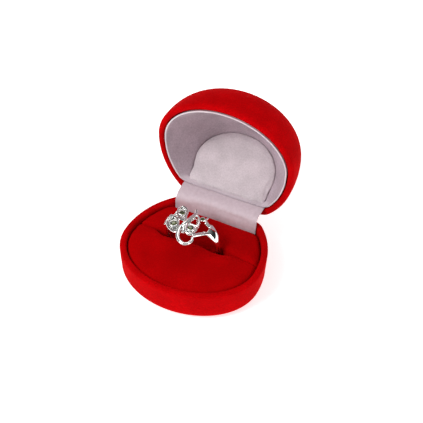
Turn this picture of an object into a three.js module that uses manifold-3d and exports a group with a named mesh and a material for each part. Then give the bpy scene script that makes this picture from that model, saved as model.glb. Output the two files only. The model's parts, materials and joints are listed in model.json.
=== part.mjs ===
// Flocked clamshell ring box, shown open, with a dress ring held in its padded slot.
// Millimetres, +Z up. The origin is the middle of the flat underside, -Y is the front,
// and the hinge runs along X at the back. Lid pieces are designed on the closed box and
// then swung open together about the hinge pin.
import * as THREE from 'three';
import { mergeVertices } from 'three/addons/utils/BufferGeometryUtils.js';
import Module from 'manifold-3d';

const wasm = await Module();
wasm.setup();

// ---------------------------------------------------------------- driving dimensions
const HALF_WIDTH = 26;            // half of the oval's width, along the hinge
const FRONT_REACH = 20.9;         // oval's front, measured from its widest line
const BACK_REACH = 28.95;         // depth the back oval would have without its flat
const BACK_FLAT_Y = 23.75;        // flat back that carries the hinge
const CORNER_SOFTNESS = 2.0;      // how gently the oval runs into the flat back
const RIM_Z = 13.0;               // parting line of base and lid
const LID_RISE = 23.5;            // dome above the parting line
const LID_EXPONENT = 2.44;        // fullness of the dome's section
const OPEN_ANGLE = THREE.MathUtils.degToRad(91);
const HINGE_Y = 24.26;            // hinge pin, just behind the flat back
const HINGE_Z = RIM_Z - 1.5;

const GAP = 0.3;                  // between pieces that are glued or laid together
const SHELL_SIDES = 56;           // flats round an oval shell
const LINING_SIDES = 44;
const PAD_ROUND_SIDES = 26;
const PAD_CUT_SIDES = 8;

// base shell
const BASE_WALL = 2.4;
const BASE_FLOOR = 2.2;
const BASE_TAPER = 0.6;
const FOOT_RADIUS = 4.25;
const FLOOR_FILLET = 1.5;
const RIM_RADIUS = 1.25;

// lid shell
const LID_RIM_WALL = 2.4;
const LID_WALL = 1.3;
const LID_RIM_DEPTH = 7;          // the wall thins over this height
const LID_FLAT_Y = BACK_FLAT_Y - 0.35;

// lining of the lid and its slanted panel
const LINING_INSET = 2.7;
const LINING_WALL = 0.8;
const LINING_FLAT_Y = 18.9;
const PANEL_HALF_WIDTH = 15.2;
const PANEL_HALF_DEPTH = 8.1;     // measured level, before the slant lengthens it
const PANEL_SQUARENESS = 0.2;     // 1 would round the hinge half, 0 would make it square
const PANEL_Y = 13.0;
const PANEL_DEPTH = 9.1;          // below the lid's rim at the panel's middle
const PANEL_SLANT = 1.15;         // rise per unit of depth
const PANEL_BACK_Y = LINING_FLAT_Y - LINING_WALL;
const CARD_THICKNESS = 0.5;
const PUFF_THICKNESS = 1.2;
const PUFF_CROWN = 0.6;

// ring cushion
const SLOT_Y = 3.9;
const SLOT_HALF = 1.2;
const PAD_INSET = 2.7;
const PAD_BACK_Y = 18.9;
const PAD_EDGE_Z = RIM_Z - 0.7;
const PAD_CROWN = 1.2;
const COVER_THICKNESS = 0.6;
const COVER_FOOT_Z = 4.4;
const INSERT_CARD = 0.8;

// hinge
const LEAF_THICKNESS = 0.4;
const LEAF_HALF_WIDTH = 9;
const KNUCKLE_RADIUS = 1.2;
const BORE_RADIUS = 0.62;
const PIN_RADIUS = 0.55;
const CENTRE_KNUCKLE_HALF = 3.2;
const SPRING_ROOM = 1.9;          // along the pin, between centre and outer knuckles
const BASE_LEAF_Y = 20.65;        // leaves stand inside the walls
const LID_LEAF_Y = 20.3;
const RIVET_X = 6;
const RIVET_RADIUS = 0.7;
const RIVET_HEAD_RADIUS = 1.3;
const RIVET_HEAD = 0.3;
const NOTCH_HALF_WIDTH = LEAF_HALF_WIDTH + 0.6;

// woven strip over the hinge
const STRIP_HALF_WIDTH = 15.6;
const STRIP_THICKNESS = 0.3;

// ---------------------------------------------------------------- materials
const finish = (color, roughness, metalness = 0) =>
  new THREE.MeshStandardMaterial({ color, roughness, metalness });
const redFlock = () => finish('#b80008', 0.95);
const redVelvet = () => finish('#a80006', 0.95);
const satin = () => finish('#cfc4c8', 0.6);
const foam = () => finish('#e8e4da', 0.9);
const card = () => finish('#b9ad98', 0.85);
const steel = () => finish('#9a9da1', 0.35, 1);
const silver = () => finish('#d9dbde', 0.12, 1);
const greenStone = () => finish('#7d8a2e', 0.05);

// ---------------------------------------------------------------- geometry helpers
const lerp = THREE.MathUtils.lerp;

function outwardFacing(points, faces) {
  let volume = 0;
  for (const [a, b, c] of faces) {
    volume += points[a].dot(new THREE.Vector3().crossVectors(points[b], points[c]));
  }
  return volume >= 0 ? faces : faces.map(([a, b, c]) => [a, c, b]);
}

function closedGeometry(points, faces) {
  const geometry = new THREE.BufferGeometry();
  geometry.setFromPoints(points);
  geometry.setIndex(outwardFacing(points, faces).flat());
  geometry.computeVertexNormals();
  return geometry;
}

// Skins a stack of rings with the same number of points. A stack is closed by a fan at
// each end, or joins its last ring to its first.
function skinRings(rings, { joined = false } = {}) {
  const count = rings[0].length;
  const points = rings.flat();
  const faces = [];
  const bands = joined ? rings.length : rings.length - 1;
  for (let band = 0; band < bands; band += 1) {
    const near = band * count;
    const far = ((band + 1) % rings.length) * count;
    for (let i = 0; i < count; i += 1) {
      const next = (i + 1) % count;
      faces.push([near + i, near + next, far + next], [near + i, far + next, far + i]);
    }
  }
  if (!joined) {
    const ends = [[0, true], [(rings.length - 1) * count, false]];
    for (const [start, reversed] of ends) {
      const centre = new THREE.Vector3();
      for (let i = 0; i < count; i += 1) {
        centre.addScaledVector(points[start + i], 1 / count);
      }
      points.push(centre);
      for (let i = 0; i < count; i += 1) {
        const next = (i + 1) % count;
        const fan = [points.length - 1, start + i, start + next];
        faces.push(reversed ? [fan[0], fan[2], fan[1]] : fan);
      }
    }
  }
  return closedGeometry(points, faces);
}

// A point of the box's plan: an oval whose back runs into a flat.
function planPoint(angle, inset = 0, back = BACK_FLAT_Y - inset) {
  const sine = Math.sin(angle);
  const x = (HALF_WIDTH - inset) * Math.cos(angle);
  const y = ((sine < 0 ? FRONT_REACH : BACK_REACH) - inset) * sine;
  const past = y - (back - CORNER_SOFTNESS);
  return new THREE.Vector2(x, past > 0 ? back - CORNER_SOFTNESS * Math.exp(-past / CORNER_SOFTNESS) : y);
}

function plan({ inset = 0, back, sides }) {
  return Array.from({ length: sides }, (_, i) => planPoint((i / sides) * 2 * Math.PI, inset, back));
}

const atHeight = (outline, z) => outline.map((p) => new THREE.Vector3(p.x, p.y, z));

function scaledAbout(outline, centre, factor) {
  return outline.map((p) => p.clone().sub(centre).multiplyScalar(factor).add(centre));
}

// A bend of radius one, as [inward, upward] pairs from the side round to the top.
function* quarterBend(steps) {
  for (let i = 0; i <= steps; i += 1) {
    const angle = (i / steps) * (Math.PI / 2);
    yield [1 - Math.cos(angle), Math.sin(angle)];
  }
}

function toManifold(geometry) {
  const bare = geometry.clone();
  bare.deleteAttribute('normal');
  bare.deleteAttribute('uv');
  const merged = mergeVertices(bare, 1e-5);
  return new wasm.Manifold(new wasm.Mesh({
    numProp: 3,
    vertProperties: new Float32Array(merged.attributes.position.array),
    triVerts: new Uint32Array(merged.index.array),
  }));
}

function fromManifold(solid) {
  const mesh = solid.getMesh();
  const geometry = new THREE.BufferGeometry();
  geometry.setAttribute('position', new THREE.BufferAttribute(mesh.vertProperties, 3));
  geometry.setIndex(Array.from(mesh.triVerts));
  geometry.computeVertexNormals();
  return geometry;
}

function joinAll(geometries) {
  const [first, ...rest] = geometries.map(toManifold);
  return fromManifold(rest.reduce((whole, piece) => whole.add(piece), first));
}

function cutAll(geometry, cutters) {
  return fromManifold(cutters.map(toManifold)
    .reduce((whole, cutter) => whole.subtract(cutter), toManifold(geometry)));
}

function block(low, high) {
  const size = high.map((value, i) => value - low[i]);
  const middle = high.map((value, i) => (value + low[i]) / 2);
  return new THREE.BoxGeometry(...size).translate(...middle);
}

// A cylinder between two X positions, on the line through y and z.
function barAlongX(radius, fromX, toX, y, z, sides = 24) {
  return new THREE.CylinderGeometry(radius, radius, toX - fromX, sides)
    .rotateZ(Math.PI / 2)
    .translate((fromX + toX) / 2, y, z);
}

function barAlongY(radius, fromY, toY, x, z, sides = 16) {
  return new THREE.CylinderGeometry(radius, radius, toY - fromY, sides)
    .translate(x, (fromY + toY) / 2, z);
}

// A tube with an even section along a curve.
function tubeAlong(curve, radius, steps, sides = 8) {
  const section = new THREE.Shape();
  section.absarc(0, 0, radius, 0, 2 * Math.PI);
  return new THREE.ExtrudeGeometry(section, {
    steps,
    extrudePath: curve,
    curveSegments: sides,
    bevelEnabled: false,
  });
}

function piece(name, geometry, material) {
  const mesh = new THREE.Mesh(geometry, material);
  mesh.name = name;
  return mesh;
}

// ---------------------------------------------------------------- base
function hingeNotch() {
  const low = [-NOTCH_HALF_WIDTH, BACK_FLAT_Y - BASE_WALL - 1, HINGE_Z - KNUCKLE_RADIUS - GAP];
  const high = [NOTCH_HALF_WIDTH, BACK_FLAT_Y + 1, RIM_Z + 1];
  return block(low, high);
}

function rivetHole(leafY, z, x) {
  return barAlongY(RIVET_RADIUS + 0.1, leafY - 0.5, leafY + 2.3, x, z);
}

const BASE_RIVET_Z = 7;
const LID_RIVET_Z = RIM_Z + 3.2;
const bothSides = [['left', -1], ['right', 1]];

function baseShell() {
  const rings = [];
  const addRing = (inset, z) => rings.push(atHeight(plan({ inset, sides: SHELL_SIDES }), z));
  for (const [inward, upward] of [...quarterBend(4)].reverse()) {
    addRing(BASE_TAPER + FOOT_RADIUS * inward, FOOT_RADIUS * (1 - upward));
  }
  for (const [inward, upward] of quarterBend(3)) {
    addRing(RIM_RADIUS * inward, RIM_Z - RIM_RADIUS * (1 - upward));
  }
  addRing(BASE_WALL - 0.3, RIM_Z);
  addRing(BASE_WALL, RIM_Z - 0.3);
  for (const [inward, upward] of quarterBend(2)) {
    addRing(BASE_WALL + FLOOR_FILLET * inward, BASE_FLOOR + FLOOR_FILLET * (1 - upward));
  }
  const cutters = [hingeNotch()];
  for (const [, side] of bothSides) {
    cutters.push(rivetHole(BASE_LEAF_Y, BASE_RIVET_Z, side * RIVET_X));
  }
  return piece('base_shell', cutAll(skinRings(rings), cutters), redFlock());
}

function insertCard() {
  const low = BASE_FLOOR + GAP;
  const outline = plan({ inset: BASE_WALL + FLOOR_FILLET - 0.4, back: PAD_BACK_Y, sides: LINING_SIDES });
  const rings = [atHeight(outline, low), atHeight(outline, low + INSERT_CARD)];
  return piece('insert_card', skinRings(rings), card());
}

// Each half of the cushion lies on its own side of the ring slot, cut straight along it.
const cushionHalves = {
  front: { cutY: SLOT_Y - SLOT_HALF, away: -1 },
  rear: { cutY: SLOT_Y + SLOT_HALF, away: 1 },
};

function cushionOutline(half, extraInset) {
  const { cutY, away } = cushionHalves[half];
  const inset = PAD_INSET + extraInset;
  const y = cutY + away * extraInset;
  const cutAngle = Math.asin(y / (BACK_REACH - inset));
  const [from, to] = away > 0
    ? [cutAngle, Math.PI - cutAngle]
    : [Math.PI - cutAngle, 2 * Math.PI + cutAngle];
  const points = [];
  for (let i = 0; i <= PAD_ROUND_SIDES; i += 1) {
    const angle = lerp(from, to, i / PAD_ROUND_SIDES);
    points.push(planPoint(angle, inset, PAD_BACK_Y - extraInset));
  }
  const first = points[0];
  const last = points.at(-1);
  for (let i = 1; i < PAD_CUT_SIDES; i += 1) {
    points.push(last.clone().lerp(first, i / PAD_CUT_SIDES));
  }
  return points;
}

function middleOf(outline) {
  const middle = new THREE.Vector2();
  for (const point of outline) {
    middle.addScaledVector(point, 1 / outline.length);
  }
  return middle;
}

// Rings over a crowned top, from the edge in to the middle.
function crownRings(outline, edgeZ, crown, scales) {
  const middle = middleOf(outline);
  return scales.map((factor) =>
    atHeight(scaledAbout(outline, middle, factor), edgeZ + crown * (1 - factor * factor)));
}

const CROWN_SCALES = [1, 0.85, 0.5];

function cushionCover(half) {
  const outer = cushionOutline(half, 0);
  const inner = cushionOutline(half, COVER_THICKNESS);
  const rings = [
    ...crownRings(outer, PAD_EDGE_Z, PAD_CROWN, CROWN_SCALES).reverse(),
    atHeight(outer, COVER_FOOT_Z),
    atHeight(inner, COVER_FOOT_Z),
    ...crownRings(inner, PAD_EDGE_Z - COVER_THICKNESS, PAD_CROWN, CROWN_SCALES),
  ];
  return piece(`${half}_pad_cover`, skinRings(rings), redVelvet());
}

function cushionFoam(half) {
  const outline = cushionOutline(half, COVER_THICKNESS + 0.15);
  const rings = [
    atHeight(outline, BASE_FLOOR + GAP + INSERT_CARD + GAP),
    ...crownRings(outline, PAD_EDGE_Z - COVER_THICKNESS - 0.3, PAD_CROWN, CROWN_SCALES),
  ];
  return piece(`${half}_pad_foam`, skinRings(rings), foam());
}

// ---------------------------------------------------------------- lid, as on the closed box
const DOME_CENTRE = new THREE.Vector2(0, (LID_FLAT_Y - FRONT_REACH) / 2);

const domeScale = (height, rise) =>
  Math.max(0, 1 - (height / rise) ** LID_EXPONENT) ** (1 / LID_EXPONENT);

function domeRing(inset, height, rise) {
  const outline = plan({ inset, back: LID_FLAT_Y - inset, sides: SHELL_SIDES });
  return atHeight(scaledAbout(outline, DOME_CENTRE, domeScale(height, rise)), RIM_Z + height);
}

function lidShell() {
  const steps = 8;
  const rings = [];
  for (let i = steps - 1; i > 0; i -= 1) {
    const height = LID_RISE * Math.sin((i / steps) * (Math.PI / 2));
    rings.push(domeRing(0, height, LID_RISE));
  }
  for (const [inward, upward] of quarterBend(3)) {
    rings.push(domeRing(RIM_RADIUS * inward, RIM_RADIUS * (1 - upward), LID_RISE));
  }
  rings.push(domeRing(LID_RIM_WALL - 0.3, 0, LID_RISE));
  const innerRise = LID_RISE - LID_WALL;
  for (let i = 0; i < steps; i += 1) {
    const height = Math.max(0.3, innerRise * Math.sin((i / steps) * (Math.PI / 2)));
    const thinned = Math.min(1, height / LID_RIM_DEPTH);
    const inset = lerp(LID_RIM_WALL, LID_WALL, THREE.MathUtils.smoothstep(thinned, 0.6, 1));
    rings.push(domeRing(inset, height, innerRise));
  }
  const holes = bothSides.map(([, side]) => rivetHole(LID_LEAF_Y, LID_RIVET_Z, side * RIVET_X));
  return piece('lid_shell', cutAll(skinRings(rings), holes), redFlock());
}

// Points of the slanted panel's edge, moved in from the edge and down behind its face.
const PANEL_NORMAL = new THREE.Vector3(0, PANEL_SLANT, 1).normalize();

function panelEdge(margin, behind, sides = LINING_SIDES) {
  const points = [];
  for (let i = 0; i < sides; i += 1) {
    const angle = (i / sides) * 2 * Math.PI;
    const squareness = Math.sin(angle) > 0 ? PANEL_SQUARENESS : 1;
    const across = Math.sign(Math.cos(angle)) * Math.abs(Math.cos(angle)) ** squareness;
    const x = (PANEL_HALF_WIDTH - margin) * across;
    const reach = PANEL_HALF_DEPTH - margin * PANEL_NORMAL.z;
    const y = PANEL_Y + reach * Math.sin(angle);
    const z = RIM_Z + PANEL_DEPTH - PANEL_SLANT * (y - PANEL_Y);
    const point = new THREE.Vector3(x, y, z).addScaledVector(PANEL_NORMAL, behind);
    const past = point.y - (PANEL_BACK_Y - margin * PANEL_NORMAL.z);
    if (past > 0) {
      point.y -= past;
      point.z += past * PANEL_SLANT;
    }
    points.push(point);
  }
  return points;
}

const SEAT_BEHIND = PUFF_THICKNESS + CARD_THICKNESS + 2 * GAP;

// Rings of one skin of the lining, from its lip down to the panel's seat.
function liningRings(inset, flatY, seat, lipZ) {
  const lip = plan({ inset, back: flatY, sides: LINING_SIDES });
  const steps = 5;
  const rings = [];
  for (let step = 0; step <= steps; step += 1) {
    const share = step / steps;
    const inward = share ** 1.5;
    const deeper = 1 - (1 - share) ** 1.25;
    rings.push(lip.map((point, i) => new THREE.Vector3(
      lerp(point.x, seat[i].x, inward),
      lerp(point.y, seat[i].y, inward),
      lerp(lipZ, seat[i].z, deeper),
    )));
  }
  return rings;
}

function lidLining() {
  const hidden = liningRings(
    LINING_INSET, LINING_FLAT_Y, panelEdge(-LINING_WALL, SEAT_BEHIND + LINING_WALL), RIM_Z + 0.1,
  );
  const shown = liningRings(
    LINING_INSET + LINING_WALL, LINING_FLAT_Y - LINING_WALL, panelEdge(0, SEAT_BEHIND), RIM_Z + 0.1,
  );
  return piece('lid_lining', skinRings([...hidden.reverse(), ...shown]), satin());
}

function panelCard() {
  const behind = SEAT_BEHIND - GAP;
  const rings = [panelEdge(1, behind), panelEdge(1, behind - CARD_THICKNESS)];
  return piece('panel_card', skinRings(rings), card());
}

function panelPuff() {
  const edge = 0.5;
  const rings = [panelEdge(edge, PUFF_THICKNESS)];
  const crownSteps = 4;
  for (let step = 0; step < crownSteps; step += 1) {
    const share = step / crownSteps;
    const margin = edge + share * (PANEL_HALF_DEPTH - edge);
    rings.push(panelEdge(margin, -PUFF_CROWN * Math.sin(share * (Math.PI / 2))));
  }
  return piece('panel_puff', skinRings(rings), satin());
}

// ---------------------------------------------------------------- hinge
const outerKnuckleStart = CENTRE_KNUCKLE_HALF + SPRING_ROOM;

// A plate standing inside the wall, with arms that reach out to its knuckles.
function hingeLeaf({ name, standY, fromZ, toZ, armZ, knuckles, rivetZ }) {
  const plate = block(
    [-LEAF_HALF_WIDTH, standY, Math.min(fromZ, toZ)],
    [LEAF_HALF_WIDTH, standY + LEAF_THICKNESS, Math.max(fromZ, toZ)],
  );
  const parts = [plate];
  const boreCutters = [];
  for (const [fromX, toX] of knuckles) {
    parts.push(barAlongX(KNUCKLE_RADIUS, fromX, toX, HINGE_Y, HINGE_Z));
    parts.push(block([fromX, standY, armZ], [toX, HINGE_Y, armZ + LEAF_THICKNESS]));
    boreCutters.push(barAlongX(BORE_RADIUS, fromX - 1, toX + 1, HINGE_Y, HINGE_Z));
  }
  for (const [, side] of bothSides) {
    const x = side * RIVET_X;
    boreCutters.push(barAlongY(RIVET_RADIUS + 0.1, standY - 1, standY + 1, x, rivetZ));
  }
  return piece(name, cutAll(joinAll(parts), boreCutters), steel());
}

function baseLeaf() {
  return hingeLeaf({
    name: 'base_hinge_leaf',
    standY: BASE_LEAF_Y,
    fromZ: BASE_FLOOR + 2.4,
    toZ: HINGE_Z - KNUCKLE_RADIUS + LEAF_THICKNESS,
    armZ: HINGE_Z - KNUCKLE_RADIUS,
    knuckles: [[-LEAF_HALF_WIDTH, -outerKnuckleStart], [outerKnuckleStart, LEAF_HALF_WIDTH]],
    rivetZ: BASE_RIVET_Z,
  });
}

function lidLeaf() {
  return hingeLeaf({
    name: 'lid_hinge_leaf',
    standY: LID_LEAF_Y,
    fromZ: HINGE_Z + KNUCKLE_RADIUS - LEAF_THICKNESS,
    toZ: LID_RIVET_Z + 2.2,
    armZ: HINGE_Z + KNUCKLE_RADIUS - LEAF_THICKNESS,
    knuckles: [[-CENTRE_KNUCKLE_HALF, CENTRE_KNUCKLE_HALF]],
    rivetZ: LID_RIVET_Z,
  });
}

function rivet(name, leafY, x, z) {
  const shank = barAlongY(RIVET_RADIUS, leafY - 0.1, leafY + 2.1, x, z);
  const head = barAlongY(RIVET_HEAD_RADIUS, leafY - 0.03 - RIVET_HEAD, leafY - 0.03, x, z, 20);
  return piece(name, joinAll([shank, head]), steel());
}

function hingePin() {
  const end = LEAF_HALF_WIDTH + 0.1;
  const headLength = 0.5;
  const parts = [barAlongX(PIN_RADIUS, -end, end, HINGE_Y, HINGE_Z)];
  for (const [, side] of bothSides) {
    const reach = [side * end, side * (end + headLength)].sort((a, b) => a - b);
    parts.push(barAlongX(KNUCKLE_RADIUS * 0.8, ...reach, HINGE_Y, HINGE_Z));
  }
  return piece('hinge_pin', joinAll(parts), steel());
}

// A torsion spring round the pin, its tail lying on the base leaf's arm side.
class SpringCurve extends THREE.Curve {
  constructor(startX, length) {
    super();
    this.startX = startX;
    this.length = length;
  }

  getPoint(t, target = new THREE.Vector3()) {
    const turns = 3;
    const angle = t * turns * 2 * Math.PI;
    const radius = PIN_RADIUS + 0.4;
    return target.set(
      this.startX + this.length * t,
      HINGE_Y + radius * Math.cos(angle),
      HINGE_Z + radius * Math.sin(angle),
    );
  }
}

function hingeSpring(name, side) {
  const wire = 0.2;
  const length = SPRING_ROOM - 2 * (wire + 0.15);
  const start = side * (CENTRE_KNUCKLE_HALF + wire + 0.15);
  const curve = new SpringCurve(start, side * length);
  return piece(name, tubeAlong(curve, wire, 26, 3), steel());
}

// The woven strip that hides the hinge, from behind the cushion up into the lid's lip.
function hingeStrip() {
  const path = new THREE.CatmullRomCurve3([
    [19.35, -3.0], [19.35, -1.2], [19.4, 0.4], [19.8, 1.7], [20.8, 2.6],
    [22.4, 3.2], [24.2, 3.45], [26.0, 3.55], [27.6, 3.55],
  ].map(([y, z]) => new THREE.Vector3(0, y, RIM_Z + z)));
  const steps = 22;
  const half = STRIP_THICKNESS / 2;
  const rings = [];
  for (let i = 0; i <= steps; i += 1) {
    const point = path.getPoint(i / steps);
    const tangent = path.getTangent(i / steps);
    const lift = new THREE.Vector3(0, -tangent.z, tangent.y).multiplyScalar(half);
    const corners = [[-1, 1], [1, 1], [1, -1], [-1, -1]];
    rings.push(corners.map(([side, face]) =>
      new THREE.Vector3(side * STRIP_HALF_WIDTH, 0, 0).add(point).addScaledVector(lift, face)));
  }
  return piece('hinge_strip', skinRings(rings), satin());
}

// ---------------------------------------------------------------- ring
const RING_X = -1.3;
const RING_Z = RIM_Z + 0.9;
const BAND_RADIUS = 9.6;
const BAND_THICKNESS = 1.5;
const BAND_WIDTH = 2.1;
const SHOULDER_WIDTH = 4.4;
const SHOULDER_ANGLE = THREE.MathUtils.degToRad(44);

// Sweeps an oval section along a curve. halfSizes gives its half width and half height.
function sweep(curve, { halfSizes, sideOf, steps, sides = 6, joined = false }) {
  const rings = [];
  const last = joined ? steps - 1 : steps;
  for (let i = 0; i <= last; i += 1) {
    const t = i / steps;
    const point = curve.getPoint(t);
    const tangent = curve.getTangent(t);
    const side = sideOf(tangent);
    const up = new THREE.Vector3().crossVectors(side, tangent).normalize();
    const [width, height] = halfSizes(t);
    const ring = [];
    for (let k = 0; k < sides; k += 1) {
      const angle = (k / sides) * 2 * Math.PI;
      ring.push(point.clone()
        .addScaledVector(side, width * Math.cos(angle))
        .addScaledVector(up, height * Math.sin(angle)));
    }
    rings.push(ring);
  }
  return skinRings(rings, { joined });
}

const acrossBand = () => new THREE.Vector3(0, 1, 0);
const levelSide = (tangent) =>
  new THREE.Vector3().crossVectors(tangent, new THREE.Vector3(0, 0, 1)).normalize();

class BandCurve extends THREE.Curve {
  getPoint(t, target = new THREE.Vector3()) {
    const angle = lerp(SHOULDER_ANGLE, -Math.PI - SHOULDER_ANGLE, t);
    const x = RING_X + BAND_RADIUS * Math.cos(angle);
    return target.set(x, SLOT_Y, RING_Z + BAND_RADIUS * Math.sin(angle));
  }
}

function ringBand() {
  const halfSizes = (t) => {
    const fromEnd = Math.min(t, 1 - t) * (Math.PI + 2 * SHOULDER_ANGLE);
    const widening = 1 - THREE.MathUtils.smoothstep(fromEnd, 0, SHOULDER_ANGLE);
    return [lerp(BAND_WIDTH, SHOULDER_WIDTH, widening) / 2, BAND_THICKNESS / 2];
  };
  return sweep(new BandCurve(), { halfSizes, sideOf: acrossBand, steps: 28, sides: 8 });
}

const spline = (points, closed = false) =>
  new THREE.CatmullRomCurve3(points.map((p) => new THREE.Vector3(...p)), closed);

// A wire of the ring's open head, in millimetres above the parting line.
function ringWire(points, width, { closed = false, steps = 14 } = {}) {
  const raised = points.map(([x, y, z]) => [x, y, RIM_Z + z]);
  return sweep(spline(raised, closed), {
    halfSizes: () => [width / 2, width * 0.4],
    sideOf: levelSide,
    steps,
    joined: closed,
  });
}

const STONES = [
  { name: 'ring_stone_back', x: -6.7, y: 6.2, z: 9.8, radius: 1.0 },
  { name: 'ring_stone_left', x: -7.3, y: 0.5, z: 9.6, radius: 1.2 },
  { name: 'ring_stone_right', x: -0.6, y: 0.2, z: 10.6, radius: 1.15 },
  { name: 'ring_stone_tip', x: 1.2, y: 6.1, z: 10.2, radius: 0.7 },
];
const COLLET_WALL = 0.35;
const STONE_PLAY = 0.06;

function collet({ x, y, z, radius }) {
  const inner = radius + STONE_PLAY;
  const outer = inner + COLLET_WALL;
  const profile = [[inner, -0.75], [outer, -0.75], [outer, 0.1], [inner, 0.1], [inner, -0.75]];
  return new THREE.LatheGeometry(profile.map((p) => new THREE.Vector2(...p)), 10)
    .rotateX(Math.PI / 2)
    .translate(x, y, RIM_Z + z);
}

function stone({ name, x, y, z, radius }) {
  const profile = [[0, -0.6 * radius], [radius, 0], [radius, 0.08], [0.6 * radius, 0.35], [0, 0.35]];
  const geometry = new THREE.LatheGeometry(profile.map((p) => new THREE.Vector2(...p)), 10)
    .rotateX(Math.PI / 2)
    .translate(x, y, RIM_Z + z);
  return piece(name, geometry, greenStone());
}

// Loops round the stones, then the ribbons that cross the head, then the pairs of wires
// that rise from the band's shoulders.
const HEAD_WIRES = [
  { width: 0.85, closed: true, steps: 16, points: [
    [-8.3, 5.9, 9.3], [-8.7, 7.9, 9.2], [-8.1, 9.4, 9.3], [-6.6, 8.9, 9.8],
    [-5.3, 7.5, 10.1], [-4.7, 5.6, 10.2], [-5.2, 3.8, 10.1], [-6.9, 4.1, 9.7],
  ] },
  { width: 0.9, closed: true, steps: 18, points: [
    [-9.1, -0.6, 9.0], [-9.7, 1.6, 8.7], [-9.2, 3.4, 8.9], [-7.9, 3.5, 9.4], [-6.5, 2.4, 9.8],
    [-5.4, 0.5, 10.0], [-4.5, -1.7, 10.2], [-4.5, -3.5, 10.2], [-6.7, -2.8, 9.7],
  ] },
  { width: 0.85, closed: true, steps: 22, points: [
    [-2.3, 0.1, 10.5], [-2.4, 2.0, 10.5], [-1.9, 4.5, 10.5], [-1.2, 6.4, 10.5], [-0.1, 5.6, 10.5],
    [0.8, 4.0, 10.4], [1.3, 2.0, 10.2], [1.3, -0.4, 10.2], [0.8, -2.5, 10.3], [-0.7, -2.6, 10.5],
    [-1.8, -1.5, 10.5],
  ] },
  { width: 1.3, steps: 24, points: [
    [-2.5, 9.2, 10.3], [-1.9, 7.2, 10.5], [-2.3, 4.9, 10.7], [-3.0, 2.5, 10.8], [-3.4, 0.6, 10.8],
    [-3.8, -1.1, 10.6], [-3.6, -3.1, 10.5], [-2.9, -5.1, 10.3], [-1.5, -6.7, 10.2],
    [0.3, -7.2, 10.0], [1.6, -6.3, 9.9], [2.1, -4.7, 9.8], [1.7, -3.1, 10.0],
  ] },
  { width: 0.95, steps: 10, points: [
    [-4.8, 5.2, 10.2], [-4.2, 4.0, 10.5], [-3.9, 2.4, 10.6], [-3.0, 0.4, 10.4],
    [-2.6, -1.4, 10.3], [-2.1, -3.2, 10.4],
  ] },
  { width: 0.8, steps: 4, points: [[-10.2, -0.4, 8.5], [-10.4, 2.4, 8.4], [-10.1, 5.0, 8.5]] },
  { width: 0.9, steps: 4, points: [[-10.0, 3.4, 8.6], [-9.2, 4.3, 8.9], [-8.2, 5.2, 9.3]] },
  { width: 1.1, steps: 4, points: [[-6.9, 3.6, 9.7], [-6.0, 3.2, 10.0], [-4.2, 2.6, 10.4]] },
  { width: 0.8, steps: 4, points: [[2.6, 5.5, 9.7], [2.3, 6.9, 9.8], [2.5, 7.9, 9.7]] },
  { width: 1.4, steps: 8, points: [
    [6.0, 2.4, 7.1], [5.3, 1.8, 7.8], [3.9, 0.2, 8.9], [2.6, -1.4, 9.7], [1.4, -2.7, 10.1],
  ] },
  { width: 1.2, steps: 8, points: [
    [6.0, 5.2, 7.1], [5.3, 4.8, 7.9], [4.1, 4.8, 8.9], [3.2, 5.3, 9.4], [2.6, 5.6, 9.65],
  ] },
  { width: 1.3, steps: 4, points: [[-8.5, 2.7, 7.2], [-9.1, 1.9, 7.9], [-9.2, 0.8, 8.7]] },
  { width: 1.2, steps: 4, points: [[-8.5, 5.1, 7.2], [-9.0, 5.6, 8.0], [-8.5, 6.4, 9.1]] },
];

function ringCasting() {
  const wires = HEAD_WIRES.map(({ points, width, ...rest }) => ringWire(points, width, rest));
  return piece('ring_casting', joinAll([ringBand(), ...wires, ...STONES.map(collet)]), silver());
}

// ---------------------------------------------------------------- assembly
function baseAssembly() {
  const group = new THREE.Group();
  group.add(baseShell(), insertCard());
  for (const half of Object.keys(cushionHalves)) {
    group.add(cushionFoam(half), cushionCover(half));
  }
  group.add(baseLeaf(), hingePin(), hingeStrip());
  for (const [label, side] of bothSides) {
    group.add(rivet(`base_rivet_${label}`, BASE_LEAF_Y, side * RIVET_X, BASE_RIVET_Z));
    group.add(hingeSpring(`hinge_spring_${label}`, side));
  }
  return group;
}

function lidAssembly() {
  const closed = new THREE.Group();
  closed.add(lidShell(), lidLining(), panelCard(), panelPuff(), lidLeaf());
  for (const [label, side] of bothSides) {
    closed.add(rivet(`lid_rivet_${label}`, LID_LEAF_Y, side * RIVET_X, LID_RIVET_Z));
  }
  closed.position.set(0, -HINGE_Y, -HINGE_Z);
  const swung = new THREE.Group();
  swung.add(closed);
  swung.position.set(0, HINGE_Y, HINGE_Z);
  swung.rotation.x = -OPEN_ANGLE;
  return swung;
}

function ringAssembly() {
  const group = new THREE.Group();
  group.add(ringCasting(), ...STONES.map(stone));
  return group;
}

const ringBox = new THREE.Group();
ringBox.add(baseAssembly(), lidAssembly(), ringAssembly());

export default ringBox;
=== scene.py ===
"""Looks of an oval flocked ring box and the dress ring in its slot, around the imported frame.

Everything is in metres in the frame's own axes: +Z up, -Y the front, X along the hinge. Sizes written
in millimetres are multiplied by MM where they are used.
"""

import json
import logging
import math
from dataclasses import dataclass
from enum import Enum

import bmesh
import bpy
import numpy as np
from mathutils import Matrix, Vector


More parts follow.
